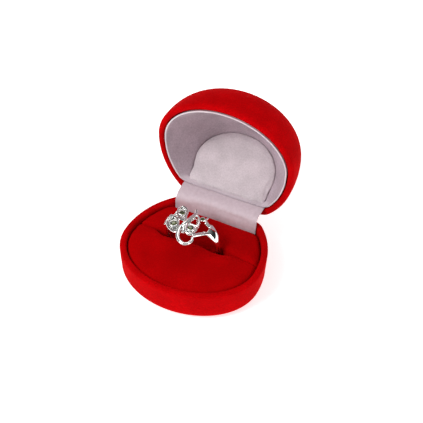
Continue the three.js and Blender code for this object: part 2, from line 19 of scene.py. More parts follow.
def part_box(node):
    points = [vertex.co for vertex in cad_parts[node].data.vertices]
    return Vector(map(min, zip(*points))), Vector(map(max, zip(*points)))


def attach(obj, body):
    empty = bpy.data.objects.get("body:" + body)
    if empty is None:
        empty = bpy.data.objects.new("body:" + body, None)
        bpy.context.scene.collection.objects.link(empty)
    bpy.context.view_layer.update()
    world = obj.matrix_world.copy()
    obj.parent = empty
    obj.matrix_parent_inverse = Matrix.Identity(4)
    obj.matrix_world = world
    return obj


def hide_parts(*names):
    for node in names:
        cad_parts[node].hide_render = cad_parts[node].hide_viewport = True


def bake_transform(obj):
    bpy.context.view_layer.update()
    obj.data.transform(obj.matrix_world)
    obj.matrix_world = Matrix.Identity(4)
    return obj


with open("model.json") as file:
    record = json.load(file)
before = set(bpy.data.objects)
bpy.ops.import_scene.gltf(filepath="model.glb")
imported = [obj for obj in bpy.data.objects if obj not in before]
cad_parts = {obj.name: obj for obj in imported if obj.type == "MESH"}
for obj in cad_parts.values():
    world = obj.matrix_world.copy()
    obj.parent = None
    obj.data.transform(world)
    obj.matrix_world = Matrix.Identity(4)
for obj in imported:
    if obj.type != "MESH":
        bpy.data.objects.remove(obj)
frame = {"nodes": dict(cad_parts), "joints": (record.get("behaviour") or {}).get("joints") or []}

MM = 0.001
PICTURE_SIDE = 423
SENSOR_MM = 36.0
NOISE_SPREAD = (0.3, 0.7)  # where most values of a noise pattern lie
WAVE_SCALE = 0.31416  # the wave texture's scale for one band in each metre
LOG = logging.getLogger("ring_box")
Piece = bpy.types.Object
Material = bpy.types.Material
Tree = bpy.types.NodeTree
Node = bpy.types.Node
Output = bpy.types.NodeSocket
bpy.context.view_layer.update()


class Half(Enum):
    """The two halves of the cushion, either side of the ring slot."""

    FRONT = "front"
    REAR = "rear"


class Side(Enum):
    """Left and right of the box, as the sign of X."""

    LEFT = -1
    RIGHT = 1


# ------------------------------------------------------------------ mesh helpers


def linked(name: str, data: bpy.types.ID) -> Piece:
    """Puts new data into the scene as an object at the origin."""
    piece = bpy.data.objects.new(name, data)
    bpy.context.scene.collection.objects.link(piece)
    return piece


def mesh_object(name: str, points: np.ndarray, faces: list, smooth: bool = True) -> Piece:
    """Makes an object at the origin from points and faces, with its faces pointing outwards.

    Args:
        name: The piece's name.
        points: Corner places in metres, one row each.
        faces: Tuples of point numbers.
        smooth: Whether the faces are shaded smooth.

    Returns:
        The new object, linked to the scene.
    """
    mesh = bpy.data.meshes.new(name)
    mesh.from_pydata([tuple(map(float, p)) for p in points], [], [tuple(f) for f in faces])
    work = bmesh.new()
    work.from_mesh(mesh)
    bmesh.ops.recalc_face_normals(work, faces=work.faces)
    work.to_mesh(mesh)
    work.free()
    mesh.polygons.foreach_set("use_smooth", [smooth] * len(mesh.polygons))
    return linked(name, mesh)


def skinned(rings: list, joined: bool = False) -> tuple:
    """Skins a stack of closed rings; the ends are fans to their middles unless the stack is joined.

    Args:
        rings: Arrays of points, all of one length.
        joined: Whether the last ring meets the first.

    Returns:
        Points and faces of the closed skin.
    """
    count = len(rings[0])
    points = np.concatenate(rings)
    faces = []
    for band in range(len(rings) if joined else len(rings) - 1):
        near, far = band * count, ((band + 1) % len(rings)) * count
        for i in range(count):
            after = (i + 1) % count
            faces.append((near + i, near + after, far + after, far + i))
    if not joined:
        for start in (0, (len(rings) - 1) * count):
            middle = len(points)
            points = np.vstack([points, points[start : start + count].mean(0)])
            faces += [(middle, start + i, start + (i + 1) % count) for i in range(count)]
    return points, faces


def skin(name: str, rings: list) -> Piece:
    """Makes a closed object from a stack of rings of points in mm."""
    points, faces = skinned([ring * MM for ring in rings])
    return mesh_object(name, points, faces)


def join_objects(name: str, pieces: list) -> Piece:
    """Joins several objects' meshes into one new object and removes them.

    Args:
        name: The new object's name.
        pieces: The objects that go into it.

    Returns:
        The new object.
    """
    work = bmesh.new()
    for piece in pieces:
        work.from_mesh(piece.data)
        bpy.data.objects.remove(piece)
    mesh = bpy.data.meshes.new(name)
    work.to_mesh(mesh)
    work.free()
    return linked(name, mesh)


def settled(piece: Piece) -> Piece:
    """Turns the piece's modifiers into plain mesh.

    Args:
        piece: The object, changed in place.

    Returns:
        The same object.
    """
    graph = bpy.context.evaluated_depsgraph_get()
    mesh = bpy.data.meshes.new_from_object(piece.evaluated_get(graph), depsgraph=graph)
    piece.modifiers.clear()
    piece.data = mesh
    return piece


def coordinates(piece: Piece) -> np.ndarray:
    """The piece's corner places as an array."""
    places = np.empty(len(piece.data.vertices) * 3, np.float64)
    piece.data.vertices.foreach_get("co", places)
    return places.reshape(-1, 3)


def place_corners(piece: Piece, places: np.ndarray) -> None:
    """Writes corner places back to the piece."""
    piece.data.vertices.foreach_set("co", np.ascontiguousarray(places, np.float64).ravel())
    piece.data.update()


def write_share(piece: Piece, name: str, shares: np.ndarray) -> None:
    """Stores a 0 to 1 share at each corner of the piece, for its material to read."""
    attribute = piece.data.attributes.new(name, "FLOAT", "POINT")
    attribute.data.foreach_set("value", np.ascontiguousarray(shares, np.float32))


def shade_smooth(piece: Piece) -> None:
    """Shades every face of the piece smooth."""
    piece.data.polygons.foreach_set("use_smooth", [True] * len(piece.data.polygons))


def remeshed(piece: Piece, voxel: float, smoothing: int = 0) -> Piece:
    """Fuses the piece into one even skin.

    Args:
        piece: The object, changed in place.
        voxel: Size of the new faces.
        smoothing: Rounds of smoothing after it.

    Returns:
        The same object.
    """
    remesh = piece.modifiers.new("fuse", "REMESH")
    remesh.mode = "VOXEL"
    remesh.voxel_size = voxel
    remesh.use_smooth_shade = True
    if smoothing:
        smooth = piece.modifiers.new("soften", "SMOOTH")
        smooth.iterations = smoothing
        smooth.factor = 0.5
    return settled(piece)


def smoothstep(values: np.ndarray) -> np.ndarray:
    """Eases 0 to 1, held flat beyond both ends."""
    held = np.clip(values, 0.0, 1.0)
    return held * held * (3 - 2 * held)


def eased(start: float, run: float, values: np.ndarray) -> np.ndarray:
    """Eases from 0 at start to 1 a run further on."""
    return smoothstep((values - start) / run)


def bell(middle: float, spread: float, value: float) -> float:
    """A bell curve that is 1 at its middle."""
    return math.exp(-(((value - middle) / spread) ** 2))


def unit(rows: np.ndarray) -> np.ndarray:
    """Each row brought to length one."""
    return rows / np.linalg.norm(rows, axis=1, keepdims=True)


def along(line: np.ndarray, joined: bool) -> np.ndarray:
    """Which way a line runs at each of its points; a joined line's last point meets its first."""
    if joined:
        return np.roll(line, -1, axis=0) - np.roll(line, 1, axis=0)
    return np.gradient(line, axis=0)


def full_turn(sides: int) -> np.ndarray:
    """Even angles round a circle, in radians."""
    return np.linspace(0, 2 * math.pi, sides, endpoint=False)


def quarter_bend(steps: int) -> list:
    """(inward, upward) shares of a bend of radius one, from a wall round to its top."""
    angles = np.linspace(0, math.pi / 2, steps + 1)
    return [(1 - math.cos(a), math.sin(a)) for a in angles]


# ------------------------------------------------------------------ node helpers


def linear(code: str) -> tuple:
    """Turns an sRGB hex colour into Blender's linear red, green, blue and alpha."""
    shares = [int(code.lstrip("#")[i : i + 2], 16) / 255 for i in (0, 2, 4)]
    return tuple(s / 12.92 if s <= 0.04045 else ((s + 0.055) / 1.055) ** 2.4 for s in shares) + (1.0,)


def add_node(
    tree: Tree, kind: str, settings: dict = None, values: dict = None, links: dict = None
) -> Node:
    """Adds a node with its settings, socket values and incoming links.

    Args:
        tree: The node tree.
        kind: The node's type name.
        settings: Attributes of the node.
        values: Socket name or number to its value.
        links: Socket name or number to the output that feeds it.

    Returns:
        The node.
    """
    node = tree.nodes.new(kind)
    for name, value in (settings or {}).items():
        setattr(node, name, value)
    for socket, value in (values or {}).items():
        node.inputs[socket].default_value = value
    for socket, source in (links or {}).items():
        tree.links.new(source, node.inputs[socket])
    return node


def new_surface(name: str, values: dict) -> tuple:
    """A material with one Principled shader.

    Args:
        name: The material's name.
        values: Values that are even all over, by socket name.

    Returns:
        The material, its tree, the shader node and the object coordinates' output.
    """
    material = bpy.data.materials.new(name)
    material.use_nodes = True
    tree = material.node_tree
    shader = tree.nodes["Principled BSDF"]
    for socket, value in values.items():
        shader.inputs[socket].default_value = value
    place = add_node(tree, "ShaderNodeTexCoord").outputs["Object"]
    return material, tree, shader, place


def noise_share(
    tree: Tree, place: Output, size: float, detail: float = 2.0, roughness: float = 0.5
) -> Output:
    """A noise pattern with features of a real size in metres, as a 0 to 1 output."""
    values = {"Scale": 1 / size, "Detail": detail, "Roughness": roughness}
    return add_node(tree, "ShaderNodeTexNoise", values=values, links={"Vector": place}).outputs["Fac"]


def stretched(
    tree: Tree, share: Output, low: float, high: float, to_low: float = 0.0, to_high: float = 1.0
) -> Output:
    """Maps the range low to high of a share onto another range."""
    values = {"From Min": low, "From Max": high, "To Min": to_low, "To Max": to_high}
    return add_node(tree, "ShaderNodeMapRange", values=values, links={"Value": share}).outputs["Result"]


def mixed(tree: Tree, share: Output, first: Output | tuple, second: Output | tuple) -> Output:
    """Mixes two colours by a share; each is a colour tuple or an output.

    Args:
        tree: The node tree.
        share: How much of the second colour is in the mix.
        first: One colour.
        second: The other colour.

    Returns:
        The mixed colour.
    """
    node = add_node(tree, "ShaderNodeMix", {"data_type": "RGBA"})
    for socket, value in ((0, share), (6, first), (7, second)):
        if isinstance(value, Output):
            tree.links.new(value, node.inputs[socket])
        else:
            node.inputs[socket].default_value = value
    return node.outputs[2]


def bumped(tree: Tree, shader: Node, height: Output, distance: float, strength: float) -> None:
    """Adds a bump of real height in metres in front of the shader.

    Args:
        tree: The node tree.
        shader: The node whose normal is bumped.
        height: The 0 to 1 height.
        distance: The real height in metres.
        strength: How strongly it shows.
    """
    values = {"Distance": distance, "Strength": strength}
    node = add_node(tree, "ShaderNodeBump", values=values, links={"Height": height})
    tree.links.new(node.outputs["Normal"], shader.inputs["Normal"])


def attribute(tree: Tree, name: str) -> Output:
    """A share stored at the piece's corners."""
    return add_node(tree, "ShaderNodeAttribute", {"attribute_name": name}).outputs["Fac"]


# ------------------------------------------------------------------ finishes


@dataclass(frozen=True)
class PileFinish:
    """Short upright pile, as on flocked shells and velvet: matt, deep between clumps, lit at the tips.

    The fibres are about 0.02 mm thick, far too fine to show, so the clumps they lean into are drawn,
    and those a little coarser than life.
    """

    name: str
    tips: str
    roots: str
    glow: str
    clump: float = 0.45 * MM
    brushing: float = 7 * MM
    sheen: float = 0.3
    bump: float = 0.08 * MM
    # painted light: an optional lighter colour, mixed in where a stored share says, standing for highlights
    # and lit faces
    lighter_tone: str = ""

    def material(self) -> Material:
        """Builds the material."""
        material, tree, shader, place = new_surface(
            self.name,
            {
                "Roughness": 0.92,
                "Specular IOR Level": 0.03,
                "Sheen Weight": self.sheen,
                "Sheen Roughness": 0.45,
                "Sheen Tint": linear(self.glow),
            },
        )
        clumps = noise_share(tree, place, self.clump, 3.0, 0.6)
        brushed = noise_share(tree, place, self.brushing, 1.0)
        depth = stretched(tree, clumps, *NOISE_SPREAD)
        pile = mixed(tree, depth, linear(self.roots), linear(self.tips))
        # painted light: the lighter colour is mixed in by the stored share, for highlights and lit faces
        if self.lighter_tone:
            pile = mixed(tree, attribute(tree, "lighter_tone"), pile, linear(self.lighter_tone))
        # pile brushed away from the eye is a tenth darker than pile brushed towards it
        lean = stretched(tree, brushed, 0.35, 0.65, 0.9, 1.06)
        links = {0: pile, "Scale": lean}
        shade = add_node(tree, "ShaderNodeVectorMath", {"operation": "SCALE"}, links=links)
        tree.links.new(shade.outputs[0], shader.inputs["Base Color"])
        bumped(tree, shader, clumps, self.bump, 0.5)
        return material


@dataclass(frozen=True)
class SatinFinish:
    """Satin weave: long floats along the cloth give a soft band of gloss and a fine rib.

    The real threads are 0.1 mm apart; they are drawn 0.3 mm apart so that the rib shows.
    """

    name: str
    thread: str
    shadow: str
    spacing: float = 0.3 * MM

    def material(self) -> Material:
        """Builds the material."""
        material, tree, shader, place = new_surface(
            self.name,
            {
                "Roughness": 0.55,
                "Specular IOR Level": 0.3,
                "Sheen Weight": 0.25,
                "Sheen Roughness": 0.4,
                "Sheen Tint": linear("#f3e6ea"),
            },
        )
        woven = [
            add_node(
                tree,
                "ShaderNodeTexWave",
                {"wave_type": "BANDS", "bands_direction": direction, "wave_profile": "SIN"},
                {"Scale": WAVE_SCALE / self.spacing, "Distortion": 1.2, "Detail": 2.0, "Detail Scale": 1.5},
                {"Vector": place},
            ).outputs["Fac"]
            for direction in ("X", "Y")
        ]
        weave = add_node(tree, "ShaderNodeMath", {"operation": "MULTIPLY"}, links=dict(enumerate(woven)))
        slub = stretched(tree, noise_share(tree, place, 1.1 * MM, 3.0), 0.2, 0.8)
        cloth = mixed(tree, slub, linear(self.shadow), linear(self.thread))
        tree.links.new(cloth, shader.inputs["Base Color"])
        bumped(tree, shader, weave.outputs[0], 0.03 * MM, 0.35)
        return material


@dataclass(frozen=True)
class SteelFinish:
    """Plated spring steel, rolled: fine lengthwise scratches and faint tarnish."""

    name: str = "plated_spring_steel"

    def material(self) -> Material:
        """Builds the material."""
        material, tree, shader, place = new_surface(self.name, {"Metallic": 1.0})
        drawn_out = {"Scale": (0.06, 1.0, 1.0)}
        rolled = add_node(tree, "ShaderNodeMapping", values=drawn_out, links={"Vector": place}).outputs[0]
        scratches = noise_share(tree, rolled, 0.12 * MM, 4.0, 0.7)
        tarnish = stretched(tree, noise_share(tree, place, 2.5 * MM, 3.0), 0.4, 0.7)
        metal = mixed(tree, tarnish, linear("#b4b6b8"), linear("#8f8d88"))
        tree.links.new(metal, shader.inputs["Base Color"])
        gloss = stretched(tree, scratches, *NOISE_SPREAD, 0.28, 0.45)
        tree.links.new(gloss, shader.inputs["Roughness"])
        bumped(tree, shader, scratches, 0.01 * MM, 0.3)
        return material


@dataclass(frozen=True)
class SilverFinish:
    """Polished sterling silver, with light oxide left where the polishing wheel can't reach."""

    name: str = "polished_silver"

    def material(self) -> Material:
        """Builds the material."""
        material, tree, shader, place = new_surface(self.name, {"Metallic": 1.0})
        oxide = stretched(tree, attribute(tree, "hollow"), 0.15, 0.7)
        silver = mixed(tree, oxide, linear("#efefed"), linear("#403e3c"))
        tree.links.new(silver, shader.inputs["Base Color"])
        swirls = noise_share(tree, place, 0.6 * MM, 3.0)
        gloss = stretched(tree, swirls, *NOISE_SPREAD, 0.05, 0.12)
        tree.links.new(gloss, shader.inputs["Roughness"])
        bumped(tree, shader, swirls, 0.01 * MM, 0.15)
        return material


@dataclass(frozen=True)
class StoneFinish:
    """Cut peridot: clear olive green, with painted bright patches that stand for light the facets turn back.
    """

    name: str = "olive_green_stone"

    def material(self) -> Material:
        """Builds the material."""
        material, tree, shader, place = new_surface(
            self.name,
            {"IOR": 1.65, "Transmission Weight": 0.35, "Roughness": 0.03, "Coat Weight": 0.6},
        )
        # painted glints: bright olive patches at random over near-black stand for light turned back by the
        # facets
        painted_glints = stretched(tree, noise_share(tree, place, 0.55 * MM, 1.0), 0.42, 0.6)
        colour = mixed(tree, painted_glints, linear("#10160a"), linear("#74802c"))
        tree.links.new(colour, shader.inputs["Base Color"])
        return material


@dataclass(frozen=True)
class BoardFinish:
    """Uncoated grey board: matt, with press-flattened fibres and darker flecks."""

    name: str = "grey_board"

    def material(self) -> Material:
        """Builds the material."""
        material, tree, shader, place = new_surface(self.name, {"Roughness": 0.9})
        fibres = noise_share(tree, place, 0.5 * MM, 5.0, 0.7)
        flecks = stretched(tree, noise_share(tree, place, 1.3 * MM, 2.0), 0.62, 0.7)
        lighter_tone = mixed(tree, fibres, linear("#a89c86"), linear("#c0b49c"))
        board = mixed(tree, flecks, lighter_tone, linear("#7b705e"))
        tree.links.new(board, shader.inputs["Base Color"])
        bumped(tree, shader, fibres, 0.04 * MM, 0.4)
        return material


RED_FLOCK = PileFinish("red_nylon_flock", tips="#ca0006", roots="#a60003", glow="#ff0a10")
RED_VELVET = PileFinish(
    "red_cotton_velvet",
    tips="#b80004",
    roots="#a00002",
    glow="#ff0408",
    brushing=11 * MM,
    sheen=0.2,
    bump=0.05 * MM,
)
PALE_FLOCK = PileFinish(
    "pale_rose_grey_flock",
    tips="#c6b6be",
    roots="#ad9ca5",
    glow="#fff4f6",
    clump=0.6 * MM,
    sheen=0.1,
    bump=0.04 * MM,
    # painted light: the lighter colour painted on the lining's lip as a highlight and on its up-facing
    # hinge-side wall as light
    lighter_tone="#e2d7dc",
)
PUFF_CLOTH = PileFinish(
    "pale_brushed_satin",
    tips="#dbd0d4",
    roots="#c9bdc1",
    glow="#fff6f8",
    clump=0.5 * MM,
    sheen=0.2,
    bump=0.03 * MM,
)
SILVER = SilverFinish()
STRIP_CLOTH = SatinFinish("pale_rose_satin", thread="#dbcad1", shadow="#cab7be")


def dress(piece: Piece, material: Material) -> None:
    """Gives the piece one material."""
    piece.data.materials.clear()
    piece.data.materials.append(material)


# ------------------------------------------------------------------ the box's shape


@dataclass(frozen=True)
class BoxPlan:
    """The box's outline seen from above, in mm: an oval whose back runs into a flat for the hinge."""

    half_width: float = 26.0
    front_reach: float = 20.9
    back_reach: float = 28.95
    back_flat: float = 23.75
    softness: float = 2.0

    def at(self, angles: np.ndarray, inset: float, z: float, back: float = None) -> np.ndarray:
        """Points of the outline.

        Args:
            angles: Turns round the box from +X, in radians.
            inset: How far inside the outline, in mm.
            z: Height in mm.
            back: Where the flat stands in Y; moved in with the outline if left out.

        Returns:
            Points in mm, one row each.
        """
        flat = self.back_flat - inset if back is None else back
        sine = np.sin(angles)
        x = (self.half_width - inset) * np.cos(angles)
        y = (np.where(sine < 0, self.front_reach, self.back_reach) - inset) * sine
        past = np.maximum(y - (flat - self.softness), 0.0)
        y = np.where(past > 0, flat - self.softness * np.exp(-past / self.softness), y)
        return np.column_stack([x, y, np.full(len(angles), z)])

    def ring(self, inset: float, z: float, sides: int, back: float = None) -> np.ndarray:
        """A whole outline of evenly turned points, in mm."""
        return self.at(full_turn(sides), inset, z, back)


PLAN = BoxPlan()
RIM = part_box("base_shell")[1].z / MM
HINGE = np.array(frame["joints"][0]["pos_m"]) / MM
OPEN_ANGLE = math.radians(91)


def opened(points: np.ndarray) -> np.ndarray:
    """Swings points of the closed lid open about the hinge pin.

    Args:
        points: Places in mm, one row each.

    Returns:
        The same points on the open lid.
    """
    cosine, sine = math.cos(OPEN_ANGLE), math.sin(OPEN_ANGLE)
    y, z = points[:, 1] - HINGE[1], points[:, 2] - HINGE[2]
    behind, up = HINGE[1] + y * cosine + z * sine, HINGE[2] - y * sine + z * cosine
    return np.column_stack([points[:, 0], behind, up])


def block(low: tuple, high: tuple) -> Piece:
    """A box between two corners in mm, used only to cut other pieces.

    Args:
        low: The corner with the lowest coordinates.
        high: The corner across from it.

    Returns:
        The box.
    """
    corners = np.array([[x, y, z] for x in (0, 1) for y in (0, 1) for z in (0, 1)])
    points = (np.array(low) + corners * (np.array(high) - np.array(low))) * MM
    faces = [(0, 1, 3, 2), (4, 6, 7, 5), (0, 4, 5, 1), (2, 3, 7, 6), (0, 2, 6, 4), (1, 5, 7, 3)]
    return mesh_object("cutter", points, faces, smooth=False)


def cut_away(piece: Piece, cutter: Piece) -> Piece:
    """Cuts one closed object out of another and removes the cutter.

    Args:
        piece: The object, changed in place.
        cutter: The object whose room is taken out.

    Returns:
        The same piece.
    """
    cut = piece.modifiers.new("cut", "BOOLEAN")
    cut.object = cutter
    cut.solver = "EXACT"
    settled(piece)
    bpy.data.objects.remove(cutter)
    return piece


@dataclass
class BaseShell:
    """The flocked lower half: a bowl with a rounded foot, a rounded rim and a notch for the hinge."""

    sides: int = 288
    wall: float = 2.4
    floor: float = 2.2
    taper: float = 0.6
    foot_radius: float = 4.25
    floor_fillet: float = 1.5
    rim_radius: float = 1.25
    notch_half_width: float = 9.6
    knuckle_room: float = 1.5

    def build(self) -> Piece:
        """Builds, dresses and mounts the shell."""
        rings = []
        for inward, upward in reversed(quarter_bend(12)):
            rings.append((self.taper + self.foot_radius * inward, self.foot_radius * (1 - upward)))
        for share in (0.25, 0.5, 0.75):
            height = self.foot_radius + share * (RIM - self.rim_radius - self.foot_radius)
            rings.append((self.taper * (1 - share), height))
        for inward, upward in quarter_bend(8):
            rings.append((self.rim_radius * inward, RIM - self.rim_radius * (1 - upward)))
        lip = self.wall - self.rim_radius
        for inward, upward in reversed(quarter_bend(6)):
            rings.append((self.wall - lip * inward, RIM - lip * (1 - upward)))
        for inward, upward in quarter_bend(5):
            fillet = self.floor_fillet
            rings.append((self.wall + fillet * inward, self.floor + fillet * (1 - upward)))
        shell = skin("base_shell_flock", [PLAN.ring(inset, z, self.sides) for inset, z in rings])
        low = (-self.notch_half_width, PLAN.back_flat - self.wall - 1, HINGE[2] - self.knuckle_room)
        cut_away(shell, block(low, (self.notch_half_width, PLAN.back_flat + 1, RIM + 1)))
        shade_by_angle(shell)
        dress(shell, RED_FLOCK.material())
        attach(shell, "base")
        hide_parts("base_shell")
        return shell


def shade_by_angle(piece: Piece, degrees: float = 35.0) -> None:
    """Shades the piece smooth but keeps its true corners sharp.

    Args:
        piece: The object, changed in place.
        degrees: The bend from which an edge counts as a corner.
    """
    shade_smooth(piece)
    work = bmesh.new()
    work.from_mesh(piece.data)
    limit = math.radians(degrees)
    for edge in work.edges:
        if len(edge.link_faces) == 2 and edge.calc_face_angle(0.0) > limit:
            edge.smooth = False
    work.to_mesh(piece.data)
    work.free()


@dataclass
class LidShell:
    """The flocked dome, full at the shoulder, with a thicker rounded rim."""

    sides: int = 288
    rise: float = 23.5
    fullness: float = 2.44
    rim_wall: float = 2.4
    wall: float = 1.3
    rim_depth: float = 7.0
    rim_radius: float = 1.25
    flat_y: float = 23.4
    steps: int = 26

    def dome_ring(self, inset: float, height: float, scale: float) -> np.ndarray:
        """One ring of the closed dome, drawn in about the dome's middle.

        Args:
            inset: How far inside the lid's outline, in mm.
            height: Height above the rim in mm.
            scale: How much of its size the ring keeps.

        Returns:
            Points in mm, one row each.
        """
        middle = np.array([0.0, (self.flat_y - PLAN.front_reach) / 2, 0.0])
        ring = PLAN.ring(inset, RIM + height, self.sides, self.flat_y - inset)
        ring[:, :2] = middle[:2] + (ring[:, :2] - middle[:2]) * scale
        return ring

    def levels(self, rise: float) -> list:
        """(height, scale) pairs from the rim to nearly the top, closer together near the top.

        Args:
            rise: Height of the dome in mm.

        Returns:
            The pairs.
        """
        angles = np.linspace(0, math.pi / 2, self.steps + 1)[:-1]
        power = 2 / self.fullness
        return [(rise * math.sin(a) ** power, math.cos(a) ** power) for a in angles]

    def build(self) -> Piece:
        """Builds, dresses and mounts the lid's shell."""
        outer = [
            self.dome_ring(0, h, s) for h, s in reversed(self.levels(self.rise)) if h > self.rim_radius * 1.1
        ]
        for inward, upward in quarter_bend(8):
            height = self.rim_radius * (1 - upward)
            share = max(0.0, 1 - (height / self.rise) ** self.fullness) ** (1 / self.fullness)
            outer.append(self.dome_ring(self.rim_radius * inward, height, share))
        lip = self.rim_wall - self.rim_radius
        for inward, upward in reversed(quarter_bend(6)[:-1]):
            outer.append(self.dome_ring(self.rim_wall - lip * inward, lip * (1 - upward), 1.0))
        inner = []
        for height, scale in self.levels(self.rise - self.wall):
            if height < lip * 1.05:
                continue
            thin = float(eased(0.6, 0.4, np.array(height / self.rim_depth)))
            inner.append(self.dome_ring(self.rim_wall + (self.wall - self.rim_wall) * thin, height, scale))
        shell = skin("lid_shell_flock", [opened(ring) for ring in outer + inner])
        dress(shell, RED_FLOCK.material())
        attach(shell, "lid")
        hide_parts("lid_shell")
        return shell


# ------------------------------------------------------------------ lid lining


@dataclass
class LidLining:
    """The pale lining: a rolled lip, a wall that curves in, and a padded round panel set on a slant."""

    sides: int = 264
    inset: float = 2.7
    wall: float = 0.55
    flat_y: float = 18.9
    panel_half_width: float = 15.2
    panel_half_depth: float = 8.1
    panel_squareness: float = 0.2
    panel_y: float = 13.0
    panel_depth: float = 9.1
    slant: float = 1.15
    puff_thickness: float = 1.2
    puff_crown: float = 0.5
    drape: float = 1.7
    drape_from_y: float = 15.3
    drape_run: float = 2.8
    puff_overlap: float = 0.2
    puff_tuck: float = 0.5
    puff_roll: float = 0.35
    seat_behind: float = 2.3
    face_behind: float = 0.3
    # painted light: where and how strongly the lining is painted lighter, on the hinge-side wall that faces
    # up into the light and as a highlight on the lip
    painted_light_from_y: float = 15.6
    painted_light_run: float = 2.2
    painted_light_share: float = 0.55
    hinge_lip_highlight_cut: float = 0.8
    lip_painted_highlight: float = 0.6
    steps: int = 28

    def panel_edge(self, margin: float, behind: float, share: float = None) -> np.ndarray:
        """The outline of the closed lid's slanted panel.

        Args:
            margin: How far in from the panel's edge, in mm.
            behind: How far behind the panel's face, in mm.
            share: How much of its size the outline keeps; all of it if left out.

        Returns:
            Points in mm, one row each.
        """
        normal = np.array([0.0, self.slant, 1.0]) / math.hypot(self.slant, 1.0)
        angles = full_turn(self.sides)
        reach = self.panel_half_depth - margin * normal[2]
        width = self.panel_half_width - margin
        if share is not None:
            reach, width = reach * share, width * share
        cosine = np.cos(angles)
        squared = np.sign(cosine) * np.abs(cosine) ** self.panel_squareness
        x = width * np.where(np.sin(angles) > 0, squared, cosine)
        y = self.panel_y + reach * np.sin(angles)
        z = RIM + self.panel_depth - self.slant * (y - self.panel_y)
        points = np.column_stack([x, y, z]) + normal * behind
        back = self.flat_y - self.wall - margin * normal[2]
        past = np.maximum(points[:, 1] - back, 0.0)
        points[:, 1] -= past
        points[:, 2] += past * self.slant
        return points

    def wall_rings(self, inset: float, flat_y: float, seat: np.ndarray, lip_z: float) -> list:
        """Rings of one skin of the lining, from its lip down to the panel's seat.

        Args:
            inset: How far the lip stands inside the box's outline, in mm.
            flat_y: Where the lip's hinge side stands in Y.
            seat: The ring that the skin ends at.
            lip_z: Height of the lip.

        Returns:
            The rings, each an array of points in mm.
        """
        lip = PLAN.ring(inset, lip_z, self.sides, flat_y)
        rings = []
        for share in np.linspace(0, 1, self.steps + 1):
            inward, deeper = share**1.5, 1 - (1 - share) ** 1.25
            ring = lip + (seat - lip) * inward
            ring[:, 2] = lip[:, 2] + (seat[:, 2] - lip[:, 2]) * deeper
            rings.append(ring)
        return rings

    def build_wall(self) -> Piece:
        """Builds the lining with its rolled lip."""
        lip_z = RIM + 0.1
        thick, roll = self.wall, self.wall / 2
        hidden = self.wall_rings(
            self.inset, self.flat_y, self.panel_edge(-thick, self.seat_behind + thick), lip_z + roll
        )
        shown = self.wall_rings(
            self.inset + thick, self.flat_y - thick, self.panel_edge(-0.1, self.face_behind), lip_z + roll
        )
        shown.append(self.panel_edge(0.1, self.seat_behind))
        bend = []
        for angle in np.linspace(0, math.pi, 9)[1:-1]:
            inset = self.inset + roll - roll * math.cos(angle)
            flat = self.flat_y - (inset - self.inset)
            bend.append(PLAN.ring(inset, lip_z + roll - roll * math.sin(angle), self.sides, flat))
        rings = list(reversed(hidden)) + bend + shown
        lining = skin("lid_lining_flock", [opened(ring) for ring in rings])
        # painted light: the lip is painted lighter as a highlight, fading just below it; on the hinge side
        # the lip keeps little of it and the wall below, which faces up into the light, is painted lighter
        # instead
        hinge_side = eased(self.painted_light_from_y, self.painted_light_run, shown[0][:, 1])
        rows = [np.zeros(self.sides)] * len(hidden) + [1 - self.hinge_lip_highlight_cut * hinge_side] * len(bend)
        for number in range(len(shown)):
            lip_highlight_fade = max(0.0, self.lip_painted_highlight - number / 2)
            rows.append(np.maximum(self.painted_light_share * hinge_side, lip_highlight_fade * (1 - hinge_side)))
        ends = [np.zeros(1), np.ones(1)]
        write_share(lining, "lighter_tone", np.concatenate(rows + ends))
        dress(lining, PALE_FLOCK.material())
        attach(lining, "lid")
        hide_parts("lid_lining")
        return lining

    def puff_edge(self, margin: float, behind: float, share: float = None) -> np.ndarray:
        """The panel's edge with its hinge side drawn down towards the lip, as the padding is there."""
        points = self.panel_edge(margin, behind, share)
        points[:, 2] -= self.drape * eased(self.drape_from_y, self.drape_run, points[:, 1])
        return points

    def build_puff(self) -> Piece:
        """Builds the padded panel, its edge tucked in behind."""
        edge, radius = -self.puff_overlap, self.puff_thickness / 2
        rings = [self.puff_edge(edge + self.puff_tuck, self.puff_thickness)]
        for angle in np.linspace(-math.pi / 2, math.pi / 2, 9):
            behind = radius - radius * math.sin(angle)
            rings.append(self.puff_edge(edge + radius * (1 - math.cos(angle)) * self.puff_roll, behind))
        for share in np.linspace(1, 0.03, 22)[1:]:
            crown = self.puff_crown * (1 - share**3)
            rings.append(self.puff_edge(edge + radius * self.puff_roll, -crown, share))
        puff = skin("lid_panel_puff", [opened(ring) for ring in rings])
        fill_out(puff, Stuffing(voxel=0.45 * MM, pressure=2.0, cap=0.35 * MM))
        shade_smooth(puff)
        dress(puff, PUFF_CLOTH.material())
        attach(puff, "lid")
        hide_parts("panel_puff")
        return puff


# ------------------------------------------------------------------ ring cushion


@dataclass(frozen=True)
class Stuffing:
    """How a padded piece is filled out by cloth simulation.

    The simulation runs ten times life size, where the cloth solver is at its best.
    """

    voxel: float
    pressure: float
    cap: float
    frames: int = 20
    enlarged: float = 10.0


